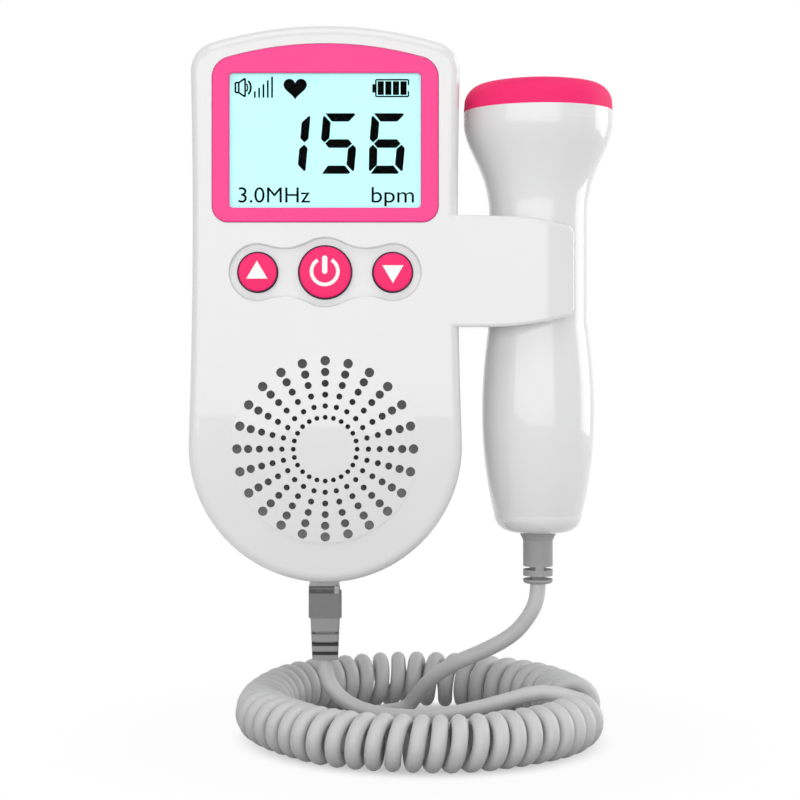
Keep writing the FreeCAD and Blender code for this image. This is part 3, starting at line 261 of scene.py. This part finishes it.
def smooth_line(name, places):
    """A NURBS line with these control points, from the first to the last."""
    line = bpy.data.curves.new(name, "CURVE")
    line.dimensions = "3D"
    spline = line.splines.new("NURBS")
    spline.points.add(len(places) - 1)
    for point, place in zip(spline.points, places):
        point.co = (*place, 1)
    spline.order_u = 3
    spline.use_endpoint_u = True
    return line


helix = []
angle = start_angle
hull = 1 / math.cos(math.pi / turn_points)
for step in range(round(turns * turn_points) + 1):
    turn = step / turn_points
    across = Vector((math.cos(math.radians(angle)), -math.sin(math.radians(angle)), 0))
    width = coil_width - coil_spread * math.sin(math.radians(angle))
    reach = hull * (width - cord_width) / 2
    swell = 1 + swell_size * math.sin(swell_rate * turn) + ripple_size * math.sin(ripple_rate * turn)
    rise = floor_z + width / 2 + reach * math.cos(2 * math.pi * turn)
    sway = sway_size * math.sin(sway_rate * turn)
    radius = ring_radius + sway + reach * swell * math.sin(2 * math.pi * turn)
    helix.append(ring_centre + radius * across + Vector((0, 0, rise)))
    pitch = (mean_pitch - back_stretch * math.sin(math.radians(angle))
             + crowd_size * math.sin(crowd_rate * turn))
    if turn < 1:
        pitch += first_stretch
    angle += pitch / turn_points

cord_points = [join] + helix[::-1] + [Vector(place) * mm for place in reversed(unit_route)]
cord_line = smooth_line("curly_cord", cord_points)
cord_line.resolution_u = 2
cord_line.bevel_depth = cord_width / 2
cord_line.bevel_resolution = 4
cord_line.use_fill_caps = True
curly_cord = bpy.data.objects.new("curly_cord", cord_line)
scene.collection.objects.link(curly_cord)

cord_rubber = Finish("cord_rubber", Roughness=0.42, Coat_Weight=0.08, Coat_Roughness=0.35)
scuff = cord_rubber.noise(6 * mm, 4)
cord_rubber.set(
    Base_Color=cord_rubber.mix(scuff, (0.60, 0.60, 0.605), (0.69, 0.69, 0.695)),
    Roughness=0.36 + 0.14 * scuff,
    Normal=cord_rubber.bump(cord_rubber.noise(0.35 * mm), 0.02 * mm))
cord_line.materials.append(cord_rubber.material)
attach(curly_cord, "hand_unit")
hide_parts("unit_lead", "cord_coil")

# ---- probe lead ----------------------------------------------------------------------------------------
# The other plain end of the same cord. It hangs from the probe's strain relief, lies in a loop on the floor
# inside the ring, and goes under the ring to the end of the helix.
probe_route = [(52, -18.4, -97.6), (52, -18.4, -101.4), (49.8, -17.1, -106.4), (46, -14.8, -111.2),
               (39.4, -11.6, -115.4), (32, -7.4, -119.2), (26.6, -2.2, -124), (23.4, 2.2, -129),
               (21, 4.4, -132.7), (17, 4.4, -133.4), (11.6, 1, -133.4), (7, -3.6, -133.4),
               (4.8, -9.2, -133.4), (6.4, -15, -133.4), (11.6, -18.4, -133.4), (19, -18.8, -133.4),
               (29.4, -17.8, -133.4), (42, -17.6, -133.4), (52, -16.4, -133.4)]


def line_points(line):
    """The places along an unbevelled line, in order."""
    line.resolution_u = 8
    carrier = bpy.data.objects.new(line.name, line)
    drawn = bpy.data.meshes.new_from_object(carrier)
    places = [vertex.co.copy() for vertex in drawn.vertices]
    bpy.data.objects.remove(carrier)
    bpy.data.meshes.remove(drawn)
    return places


def piece(name, shape, finish, body, sharp=35):
    """Makes a named piece of a bmesh, smooth but for its sharp edges, that moves with the body, if any."""
    made_mesh = bpy.data.meshes.new(name)
    shape.to_mesh(made_mesh)
    shape.free()
    made_mesh.shade_smooth()
    made_mesh.set_sharp_from_angle(angle=math.radians(sharp))
    for one in finish if isinstance(finish, list) else [finish]:
        made_mesh.materials.append(one.material)
    made = bpy.data.objects.new(name, made_mesh)
    scene.collection.objects.link(made)
    if body:
        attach(made, body)
    return made


def tube(line, width):
    """A closed round tube along a line, as a bmesh, and the places that it follows."""
    places = line_points(line)
    line.bevel_depth = width / 2
    line.bevel_resolution = 4
    line.use_fill_caps = True
    carrier = bpy.data.objects.new(line.name + "_tube", line)
    drawn = bpy.data.meshes.new_from_object(carrier)
    shape = bmesh.new()
    shape.from_mesh(drawn)
    bmesh.ops.remove_doubles(shape, verts=shape.verts, dist=0.001 * mm)
    bpy.data.objects.remove(carrier)
    bpy.data.meshes.remove(drawn)
    return shape, places


lead_line = smooth_line("probe_lead_line", [Vector(place) * mm for place in probe_route] + [join])
lead_shape, lead_path = tube(lead_line, cord_width)
probe_cord = piece("probe_cord", lead_shape, cord_rubber, None, sharp=60)
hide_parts("probe_lead")
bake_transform(probe_cord)

# ---- front and rear shell ------------------------------------------------------------------------------
# Two halves moulded in glossy white plastic, screwed together from behind. The front half carries the domed
# grille and the shallow recess for the keys, and both carry a jaw of the clip.
def dress(name, finish):
    """Gives a carried-over node its material."""
    for place in nodes[name].material_slots:
        place.material = finish.material


white_gloss = Finish("white_gloss", IOR=1.33, Coat_Weight=0.9, Coat_Roughness=0.02)
tone = white_gloss.noise(30 * mm)
white_gloss.set(
    Base_Color=white_gloss.mix(tone, (0.80, 0.80, 0.805), (0.83, 0.83, 0.83)),
    Roughness=0.20 + 0.06 * white_gloss.noise(2 * mm, 3),
    Normal=white_gloss.bump(white_gloss.noise(1.2 * mm), 0.004 * mm))
dress("front_shell", white_gloss)
dress("rear_shell", white_gloss)
dress("battery_cover", white_gloss)

# ---- screws, cells and contacts ------------------------------------------------------------------------
# Zinc-plated screws hold the casing and the board. Two cells lie side by side between nickel-plated springs
# and plates.
zinc = Finish("zinc_plate", Metallic=1.0, Roughness=0.32)
zinc.set(Base_Color=zinc.mix(zinc.noise(0.8 * mm, 4), (0.42, 0.42, 0.43), (0.66, 0.66, 0.66)),
         Roughness=0.26 + 0.2 * zinc.noise(0.4 * mm))
nickel = Finish("nickel_plate", Metallic=1.0, Roughness=0.22)
nickel.set(Base_Color=nickel.mix(nickel.noise(1.5 * mm), (0.66, 0.63, 0.57), (0.74, 0.71, 0.66)))
for name in ("case_screws", "board_screws"):
    dress(name, zinc)
dress("battery_contacts", nickel)

cell_jacket = Finish("cell_jacket", Roughness=0.3, Coat_Weight=0.5, Coat_Roughness=0.1)
height = cell_jacket.node("ShaderNodeSeparateXYZ", None, {0: cell_jacket.place}, output="Z")
band = height > -40 * mm
cell_jacket.set(
    Base_Color=cell_jacket.mix(band, (0.03, 0.05, 0.09), (0.55, 0.56, 0.57)),
    Normal=cell_jacket.bump(cell_jacket.noise(1 * mm), 0.01 * mm))
dress("aa_batteries", cell_jacket)

# ---- display -------------------------------------------------------------------------------------------
# A pink frame holds a clear window over a backlit pale-blue liquid crystal display. The display's marks are
# thin dark plates on its glass.
pink_gloss = Finish("pink_gloss", IOR=1.45)
pink_gloss.set(
    Base_Color=pink_gloss.mix(pink_gloss.noise(20 * mm), (0.98, 0.027, 0.265), (1.0, 0.034, 0.28)),
    Roughness=0.26 + 0.06 * pink_gloss.noise(1.5 * mm),
    Normal=pink_gloss.bump(pink_gloss.noise(1 * mm), 0.003 * mm))
dress("display_bezel", pink_gloss)

window_clear = Finish("window_clear", Base_Color=(0.01, 0.01, 0.01), Roughness=0.03, IOR=1.49, Alpha=0.02)
window_clear.set(Normal=window_clear.bump(window_clear.noise(8 * mm), 0.002 * mm))
dress("display_window", window_clear)

display_glass = Finish("display_glass", Roughness=0.25, Emission_Strength=0.35)
lit = display_glass.noise(25 * mm)
display_glass.set(Base_Color=display_glass.mix(lit, (0.425, 0.86, 0.87), (0.455, 0.90, 0.90)),
                  Emission_Color=display_glass.mix(lit, (0.49, 1.0, 1.0), (0.53, 1.0, 1.0)))
dress("lcd_panel", display_glass)

frosted = Finish("frosted_plastic", Roughness=0.6)
frosted.set(Base_Color=frosted.mix(frosted.noise(3 * mm), (0.78, 0.79, 0.79), (0.84, 0.84, 0.84)))
dress("backlight_frame", frosted)

segment_ink = Finish("segment_ink", Roughness=0.6, Specular_IOR_Level=0.0)
segment_ink.set(Base_Color=segment_ink.mix(
    segment_ink.noise(4 * mm), (0.0006, 0.0006, 0.0008), (0.002, 0.002, 0.0022)))

glass_low, glass_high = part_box("lcd_panel")
ink_front = glass_low.y - 0.04 * mm
ink_back = glass_low.y
middle = (glass_low + glass_high) / 2


def plate(shape, outline, front, back):
    """Adds a flat closed plate with this outline of (x, z), in mm from the display's middle."""
    rim = [shape.verts.new((middle.x + x * mm, front, middle.z + z * mm)) for x, z in outline]
    face = shape.faces.new(rim)
    made = bmesh.ops.extrude_face_region(shape, geom=[face])
    bmesh.ops.translate(shape, verts=[g for g in made["geom"] if isinstance(g, bmesh.types.BMVert)],
                        vec=(0, back - front, 0))


def stroke(shape, places, width, front, back):
    """Adds a flat stroke of one width along a line of (x, z), in mm from the display's middle."""
    sides = ([], [])
    for index, place in enumerate(places):
        before = Vector(places[max(index - 1, 0)])
        after = Vector(places[min(index + 1, len(places) - 1)])
        along = (after - before).normalized()
        off = Vector((-along.y, along.x)) * width / 2
        sides[0].append(Vector(place) + off)
        sides[1].append(Vector(place) - off)
    plate(shape, sides[0] + sides[1][::-1], front, back)


def closed_marks(name, shape, finish, body):
    """Finishes a set of plates as one piece with its faces outwards."""
    bmesh.ops.recalc_face_normals(shape, faces=shape.faces)
    return piece(name, shape, finish, body)


# three digits of seven segments, leaning a little to the right. Sizes are in mm, from the left edge and the
# middle height of an upright digit.
digit_width = 8.5
digit_half = 7.15           # half its height
segment = 1.95              # the width of one segment
lean = 0.09                 # to the right, for each mm upwards
digit_pitch = 11.47
first_digit_x = -12.56
digit_middle_z = -0.62
side_segment = [(0, digit_half - 0.50 * segment), (0.07 * segment, digit_half - 0.36 * segment),
                (0.20 * segment, digit_half - 0.33 * segment), (segment, digit_half - 1.12 * segment),
                (segment, 0.66 * segment), (0.45 * segment, 0.12 * segment), (0, 0.56 * segment)]
end_segment = [(0.24 * segment, digit_half), (digit_width - 0.62 * segment, digit_half),
               (digit_width - 0.46 * segment, digit_half - 0.18 * segment),
               (digit_width - 1.18 * segment, digit_half - segment), (1.12 * segment, digit_half - segment)]
middle_half = 0.52 * segment
middle_segment = [(0.55 * segment, 0), (1.03 * segment, middle_half),
                  (digit_width - 1.03 * segment, middle_half), (digit_width - 0.55 * segment, 0),
                  (digit_width - 1.03 * segment, -middle_half), (1.03 * segment, -middle_half)]


def mirrored_side(right, low):
    """The upper left segment, moved to the right or to the lower half."""
    return [(digit_width - x if right else x, -z if low else z) for x, z in side_segment]


upper_left = mirrored_side(False, False)
lower_left = mirrored_side(False, True)
upper_right = mirrored_side(True, False)
lower_right = mirrored_side(True, True)
upright = 0.8               # how much of the lean the last digit's lower left segment doesn't share
upright_left = [(x - upright * lean * z, z) for x, z in lower_left]
lower_end = [(0.5 * segment, -digit_half)] + [(x, -z) for x, z in end_segment[1:]]
digits = [[upper_right, lower_right],
          [end_segment, upper_left, middle_segment, lower_right, lower_end],
          [end_segment, upper_left, middle_segment, upright_left, lower_right, lower_end]]
rate = bmesh.new()
for index, shown in enumerate(digits):
    left = first_digit_x + index * digit_pitch
    for outline in shown:
        plate(rate, [(left + x + lean * z, digit_middle_z + z) for x, z in outline], ink_front, ink_back)
closed_marks("rate_digits", rate, segment_ink, "hand_unit")

# a loudspeaker with two waves, five rising bars, a heart and a battery with four cells
signs = bmesh.new()


def straight_strokes(places, width):
    """Adds a straight stroke between each place and the next, with square corners."""
    for pair in zip(places, places[1:]):
        stroke(signs, list(pair), width, ink_front, ink_back)


speaker_z = 12.58
speaker_line = 0.42
box_left, box_right, cone_right = -21.2, -20.4, -18.9
box_half, cone_half = 1.17, 2.17
straight_strokes([(box_right, speaker_z + box_half), (box_left, speaker_z + box_half),
                  (box_left, speaker_z - box_half), (box_right, speaker_z - box_half),
                  (cone_right, speaker_z - cone_half), (cone_right, speaker_z + cone_half),
                  (box_right, speaker_z + box_half), (box_right, speaker_z - box_half)], speaker_line)
wave_x = cone_right - 0.95
for wave_radius, wave_half, wave_width in ((1.55, 0.62, 0.34), (2.30, 0.75, 0.48)):
    bow = []
    for step in range(-6, 7):
        turn = wave_half * step / 6
        bow.append((wave_x + wave_radius * math.cos(turn), speaker_z + wave_radius * math.sin(turn)))
    stroke(signs, bow, wave_width, ink_front, ink_back)

bar_base_z = 10.20
first_bar_x, bar_pitch = -16.61, 1.018
first_bar_height, bar_rise = 1.49, 0.868
bar_width = 0.42
for bar in range(5):
    bar_x = first_bar_x + bar_pitch * bar
    bar_top_z = bar_base_z + first_bar_height + bar_rise * bar
    stroke(signs, [(bar_x, bar_base_z), (bar_x, bar_top_z)], bar_width, ink_front, ink_back)

heart_x, heart_z, heart_size = -7.09, 12.60, 0.1725
heart = []
for step in range(48):
    t = 2 * math.pi * step / 48
    across = 16 * math.sin(t)**3
    up = 13 * math.cos(t) - 5 * math.cos(2 * t) - 2 * math.cos(3 * t) - math.cos(4 * t)
    heart.append((heart_x + heart_size * across, heart_z + heart_size * up))
plate(signs, heart, ink_front, ink_back)

battery_left, battery_right, battery_low, battery_high = 11.95, 19.65, 10.48, 14.44
battery_line = 0.35
gap_low, gap_high = 11.75, 13.15
straight_strokes([(battery_right, gap_high), (battery_right, battery_high), (battery_left, battery_high),
                  (battery_left, battery_low), (battery_right, battery_low), (battery_right, gap_low)],
                 battery_line)
knob_x, knob_low, knob_high, knob_width = 11.50, 11.40, 13.40, 0.75
stroke(signs, [(knob_x, knob_low), (knob_x, knob_high)], knob_width, ink_front, ink_back)
first_cell_x, cell_pitch = 13.11, 1.794
cell_low, cell_high, cell_width = 10.85, 14.07, 1.46
for cell in range(4):
    cell_x = first_cell_x + cell_pitch * cell
    stroke(signs, [(cell_x, cell_low), (cell_x, cell_high)], cell_width, ink_front, ink_back)
closed_marks("display_signs", signs, segment_ink, "hand_unit")

# two captions in plain letters
short_tail = 0.72           # how much is left of a letter's tail below the line
caption_line = -14.53


def lettering(shape, words, left, baseline, width, height):
    """Adds words of that width whose tallest letter has that height above the baseline, in mm."""
    text = bpy.data.curves.new(words, "FONT")
    text.body = words
    text.extrude = 0.5
    carrier = bpy.data.objects.new(words, text)
    drawn = bpy.data.meshes.new_from_object(carrier)
    bpy.data.objects.remove(carrier)
    across = [vertex.co.x for vertex in drawn.vertices]
    up = [vertex.co.y for vertex in drawn.vertices]
    wide = width / (max(across) - min(across))
    tall = height / max(up)
    deep = abs(ink_back - ink_front) / mm
    for vertex in drawn.vertices:
        x, z, y = vertex.co
        vertex.co = (middle.x + (left + (x - min(across)) * wide) * mm,
                     (ink_front + ink_back) / 2 - y * deep * mm,
                     middle.z + (baseline + z * tall * (short_tail if z < 0 else 1)) * mm)
    shape.from_mesh(drawn)
    bpy.data.meshes.remove(drawn)


captions = bmesh.new()
lettering(captions, "3.0MHz", left=-20.5, baseline=caption_line, width=16.9, height=3.60)
lettering(captions, "bpm", left=10.95, baseline=caption_line, width=10.0, height=3.66)
bmesh.ops.remove_doubles(captions, verts=captions.verts, dist=0.0005 * mm)
closed_marks("display_words", captions, segment_ink, "hand_unit")

# ---- keys ----------------------------------------------------------------------------------------------
# Three round pink keys with softly rounded faces and white inlaid signs. Each skirt is painted dark as the
# shade in the gap to the casing, and shows as a thin line around the key.
key_z = -22.4 * mm
key_face_y = -35.6 * mm
key_skirt_y = -33.6 * mm    # where the skirt ends, inside the casing
crown = 0.12 * mm           # how far the face's middle stands out from its rim
edge = 0.45 * mm            # the radius round the face
pink_depth = 0.14 * mm      # the painted shade starts this far behind the face
cap_depth = 0.8 * mm        # the cap widens into its skirt this far behind the face
skirt_step = 0.02 * mm      # and by this much


def turned(shape, outline, centre, steps):
    """Adds a ring-shaped or round piece: an outline of (radius, y) turned about a line through the centre."""
    rim = [shape.verts.new((centre.x + radius, y, centre.z)) for radius, y in outline]
    edges = [shape.edges.new(pair) for pair in zip(rim, rim[1:])]
    bmesh.ops.spin(shape, geom=rim + edges, cent=(centre.x, 0, centre.z), axis=(0, 1, 0),
                   angle=2 * math.pi, steps=steps, use_merge=True)


pink_key = Finish("pink_key", IOR=1.36)
pink_key.set(
    Base_Color=pink_key.mix(pink_key.noise(6 * mm), (0.98, 0.007, 0.150), (1.0, 0.013, 0.165)),
    Roughness=0.34 + 0.08 * pink_key.noise(1 * mm),
    Normal=pink_key.bump(pink_key.noise(0.5 * mm), 0.004 * mm))
# the skirt's colour is painted shade: the dark of the gap round the key
dark_skirt = Finish("dark_skirt", Roughness=0.5, IOR=1.3)
dark_skirt.set(Base_Color=dark_skirt.mix(
    dark_skirt.noise(2 * mm), (0.060, 0.006, 0.055), (0.090, 0.010, 0.080)))
sign_white = Finish("sign_white", Roughness=0.4)
sign_white.set(Base_Color=sign_white.mix(sign_white.noise(2 * mm), (0.96, 0.96, 0.96), (1.0, 1.0, 1.0)))


def key(name, x, radius, body, node):
    """The key's cap and its skirt, painted dark as shade, as one closed piece."""
    centre = Vector((x, 0, key_z))
    outline = [(0, key_face_y - crown)]
    for step in range(1, 9):
        share = step / 8
        outline.append(((radius - edge) * share, key_face_y - crown * (1 - share**2)))
    for step in range(1, 7):
        turn = math.radians(15 * step)
        outline.append((radius - edge + edge * math.sin(turn), key_face_y + edge - edge * math.cos(turn)))
    outline += [(radius, key_face_y + cap_depth), (radius + skirt_step, key_face_y + cap_depth + 0.05 * mm),
                (radius + skirt_step, key_skirt_y), (0, key_skirt_y)]
    shape = bmesh.new()
    turned(shape, outline, centre, 64)
    bmesh.ops.remove_doubles(shape, verts=shape.verts, dist=0.0005 * mm)
    bmesh.ops.recalc_face_normals(shape, faces=shape.faces)
    for face in shape.faces:
        if face.calc_center_median().y > key_face_y + pink_depth:
            face.material_index = 1
    made = piece(name, shape, [pink_key, dark_skirt], body)
    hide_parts(node)


key_pitch = 15.9 * mm
volume_radius, power_radius = 4.6 * mm, 6.15 * mm
key("up_key", -key_pitch, volume_radius, "volume_up_key", "volume_up_button")
key("power_key_cap", 0, power_radius, "power_key", "power_button")
key("down_key", key_pitch, volume_radius, "volume_down_key", "volume_down_button")

sign_front = key_face_y - 0.14 * mm                 # just proud of the crown
sign_back = key_face_y + 0.10 * mm
triangle_half = 2.49        # half its width, in mm as on the display
triangle_height = 4.22
base_share, tip_share = 0.42, 0.58                  # of its height, on either side of the key's middle


def triangle(name, x, rise, sign, body):
    """A triangle that points up or down, sunk into its key."""
    shape = bmesh.new()
    base = -sign * triangle_height * base_share
    tip = sign * triangle_height * tip_share
    key_x = x / mm - middle.x / mm
    key_up = (key_z - middle.z) / mm + rise
    plate(shape, [(key_x - triangle_half, key_up + base), (key_x + triangle_half, key_up + base),
                  (key_x, key_up + tip)], sign_front, sign_back)
    closed_marks(name, shape, sign_white, body)


triangle("up_sign", -key_pitch - 0.15 * mm, rise=0.25, sign=1, body="volume_up_key")
triangle("down_sign", key_pitch, rise=-0.15, sign=-1, body="volume_down_key")

# the power sign is a ring with a gap at its top and an upright bar in the gap
ring_gap = math.radians(32)                         # to each side of the top
ring_middle = 3.1
ring_line = 0.85
sign_x = -0.12
sign_up = (key_z - middle.z) / mm + 0.2
power = bmesh.new()
bow = []
for step in range(49):
    turn = ring_gap + (2 * math.pi - 2 * ring_gap) * step / 48
    bow.append((sign_x + ring_middle * math.sin(turn), sign_up + ring_middle * math.cos(turn)))
stroke(power, bow, ring_line, sign_front, sign_back)
bar_half = 0.62             # half its width, and the radius of its ends
bar_top, bar_bottom = 3.72, -0.62
bar = []
for end, high in ((1, sign_up + bar_top), (-1, sign_up + bar_bottom)):
    for step in range(9):
        turn = math.radians(-90 + 22.5 * step) * end
        bar.append((sign_x + bar_half * math.sin(turn),
                    high - end * bar_half + end * bar_half * math.cos(turn)))
plate(power, bar, sign_front, sign_back)
closed_marks("power_sign", power, sign_white, "power_key")

# ---- board and switches --------------------------------------------------------------------------------
# A green glass-fibre board with tact switches under the keys, black chips behind, and the sockets for the
# probe's plug and the headphones.
board_green = Finish("board_green", Roughness=0.35, Coat_Weight=0.4)
tracks = board_green.node("ShaderNodeTexBrick", None, {
    "Vector": board_green.place, "Scale": 260.0, "Mortar Size": 0.03}, output="Fac")
board_green.set(Base_Color=board_green.mix(tracks, (0.012, 0.11, 0.035), (0.03, 0.22, 0.07)),
                Normal=board_green.bump(tracks, 0.03 * mm))
dress("circuit_board", board_green)
dress("probe_board", board_green)
black_plastic = Finish("black_plastic", Roughness=0.5)
black_plastic.set(
    Base_Color=black_plastic.mix(black_plastic.noise(1 * mm, 4), (0.012, 0.012, 0.013), (0.028, 0.028, 0.03)),
    Normal=black_plastic.bump(black_plastic.noise(0.2 * mm), 0.01 * mm))
for name in ("board_chips", "tact_switches", "headphone_jack", "probe_jack"):
    dress(name, black_plastic)

# ---- speaker -------------------------------------------------------------------------------------------
# A grey woven dust cloth lies behind the grille. The small loudspeaker behind it has a pressed steel frame,
# a paper cone and a magnet.
dust_cloth = Finish("dust_cloth", Roughness=0.95)
thread_size = 0.24 * mm
threads = []
for axis in "XZ":
    along = dust_cloth.node("ShaderNodeSeparateXYZ", None, {0: dust_cloth.place}, output=axis)
    threads.append(dust_cloth.node("ShaderNodeMath", {"operation": "SINE"}, {
        0: along * (2 * math.pi / thread_size)}))
weave = threads[0] * threads[1] * 0.5 + 0.5
dust_cloth.set(Base_Color=dust_cloth.mix(weave, (0.38, 0.38, 0.38), (0.58, 0.58, 0.58)),
               Normal=dust_cloth.bump(weave, 0.06 * mm))
dress("speaker_mesh", dust_cloth)
steel = Finish("pressed_steel", Metallic=1.0, Roughness=0.35)
steel.set(Base_Color=steel.mix(steel.noise(3 * mm, 3), (0.45, 0.45, 0.46), (0.56, 0.56, 0.56)))
dress("speaker_frame", steel)
paper = Finish("cone_paper", Roughness=0.9)
paper.set(Base_Color=paper.mix(paper.noise(0.5 * mm, 5), (0.02, 0.02, 0.02), (0.05, 0.05, 0.05)),
          Normal=paper.bump(paper.noise(0.4 * mm, 4), 0.05 * mm))
dress("speaker_cone", paper)
ferrite = Finish("magnet_ferrite", Roughness=0.6)
ferrite.set(Base_Color=ferrite.mix(ferrite.noise(0.6 * mm, 4), (0.03, 0.03, 0.032), (0.07, 0.07, 0.07)))
dress("speaker_magnet", ferrite)

# ---- plug ----------------------------------------------------------------------------------------------
# A clear modular nose with gilt blades. Its root and its dark collar are pressed into a hard grey hood, and a
# softer boot keeps the lead from bending sharply. Its two slots are painted near-black, as the shade in them.
clear_plug = Finish("clear_plug", Roughness=0.12, Alpha=0.75, IOR=1.55)
clear_plug.set(Base_Color=clear_plug.mix(clear_plug.noise(2 * mm), (0.50, 0.51, 0.52), (0.58, 0.59, 0.59)))
dress("plug_body", clear_plug)
seam_y = -17.5 * mm         # the plug's middle, on the seam of the casing


def rounded_block(name, low, high, edge, finish, body):
    """A block between two corners, with its edges rounded."""
    shape = bmesh.new()
    bmesh.ops.create_cube(shape, size=1)
    bmesh.ops.scale(shape, verts=shape.verts, vec=Vector(high) - Vector(low))
    bmesh.ops.translate(shape, verts=shape.verts, vec=(Vector(high) + Vector(low)) / 2)
    bmesh.ops.bevel(shape, geom=shape.edges[:], offset=edge, segments=3, profile=0.5, affect="EDGES",
                    material=-1)
    return piece(name, shape, finish, body)


# the nose's plain root, then the dark clear collar with its latch, which meets the hood
nose_root = Finish("nose_root", Roughness=0.25)
nose_root.set(Base_Color=nose_root.mix(nose_root.noise(1 * mm, 3), (0.46, 0.46, 0.465), (0.56, 0.56, 0.565)))
smoky_collar = Finish("smoky_collar", Roughness=0.15, IOR=1.5)
smoky_collar.set(Base_Color=smoky_collar.mix(
    smoky_collar.noise(1.1 * mm, 2), (0.035, 0.035, 0.036), (0.16, 0.16, 0.162)))
plug_root = rounded_block(
    "plug_root", low=(-3.75 * mm, seam_y - 3.45 * mm, -98.2 * mm),
    high=(3.45 * mm, seam_y + 3.45 * mm, -96.75 * mm), edge=0.2 * mm, finish=nose_root, body="hand_unit")
plug_collar = rounded_block(
    "plug_collar", low=(-4.0 * mm, seam_y - 3.7 * mm, -99.85 * mm),
    high=(3.6 * mm, seam_y + 3.7 * mm, -98.15 * mm), edge=0.25 * mm, finish=smoky_collar, body="hand_unit")
plug_latch = rounded_block(
    "plug_latch", low=(2.2 * mm, seam_y - 4.0 * mm, -99.9 * mm),
    high=(3.4 * mm, seam_y - 3.3 * mm, -98.0 * mm), edge=0.2 * mm, finish=nose_root, body="hand_unit")
gilt = Finish("contact_gilt", Metallic=1.0, Roughness=0.2)
gilt.set(Base_Color=gilt.mix(gilt.noise(0.5 * mm), (0.83, 0.58, 0.22), (0.93, 0.69, 0.30)))
dress("plug_contacts", gilt)
dress("jack_contacts", gilt)
hood_grey = Finish("hood_grey", Roughness=0.42)
hood_grey.set(Base_Color=hood_grey.mix(hood_grey.noise(3 * mm, 3), (0.20, 0.20, 0.202), (0.23, 0.23, 0.232)),
              Normal=hood_grey.bump(hood_grey.noise(0.3 * mm), 0.008 * mm))
dress("plug_hood", hood_grey)
boot_rubber = Finish("boot_rubber", Roughness=0.55)
boot_slots = ((-112.75, -112.05), (-114.95, -114.25))       # the lower and the upper end of each, in mm
height = boot_rubber.node("ShaderNodeSeparateXYZ", None, {0: boot_rubber.place}, output="Z")
# the two slots are painted near-black: painted shade
slot_shade = [(height > low * mm) * (height < high * mm) for low, high in boot_slots]
clean_rubber = boot_rubber.mix(boot_rubber.noise(3 * mm, 3), (0.345, 0.345, 0.347), (0.385, 0.385, 0.387))
boot_rubber.set(Base_Color=boot_rubber.mix(slot_shade[0] + slot_shade[1], clean_rubber, (0.05, 0.05, 0.05)),
                Normal=boot_rubber.bump(boot_rubber.noise(0.25 * mm), 0.012 * mm))
dress("plug_boot", boot_rubber)
dress("strain_relief", boot_rubber)

# ---- probe ---------------------------------------------------------------------------------------------
# A white waisted handle in two halves that meet along its sides. A pink cap is pressed over its head, and the
# pale contact disc in it covers the cup with the two crystals.
dress("probe_front_shell", white_gloss)
dress("probe_rear_shell", white_gloss)
pink_cap = Finish("pink_cap", IOR=1.2)
pink_cap.set(
    Base_Color=pink_cap.mix(pink_cap.noise(12 * mm), (0.98, 0.032, 0.175), (1.0, 0.038, 0.19)),
    Roughness=0.50 + 0.08 * pink_cap.noise(1 * mm),
    Normal=pink_cap.bump(pink_cap.noise(0.6 * mm), 0.003 * mm))
dress("probe_cap", pink_cap)
contact_disc = Finish("contact_disc", Roughness=0.28)
contact_disc.set(Base_Color=contact_disc.mix(
    contact_disc.noise(5 * mm), (0.72, 0.72, 0.70), (0.78, 0.78, 0.76)))
dress("acoustic_face", contact_disc)
dress("crystal_cup", black_plastic)
ceramic = Finish("crystal_ceramic", Roughness=0.3)
ceramic.set(Base_Color=ceramic.mix(ceramic.noise(1 * mm), (0.55, 0.50, 0.36), (0.64, 0.59, 0.44)))
dress("transducer_crystals", ceramic)
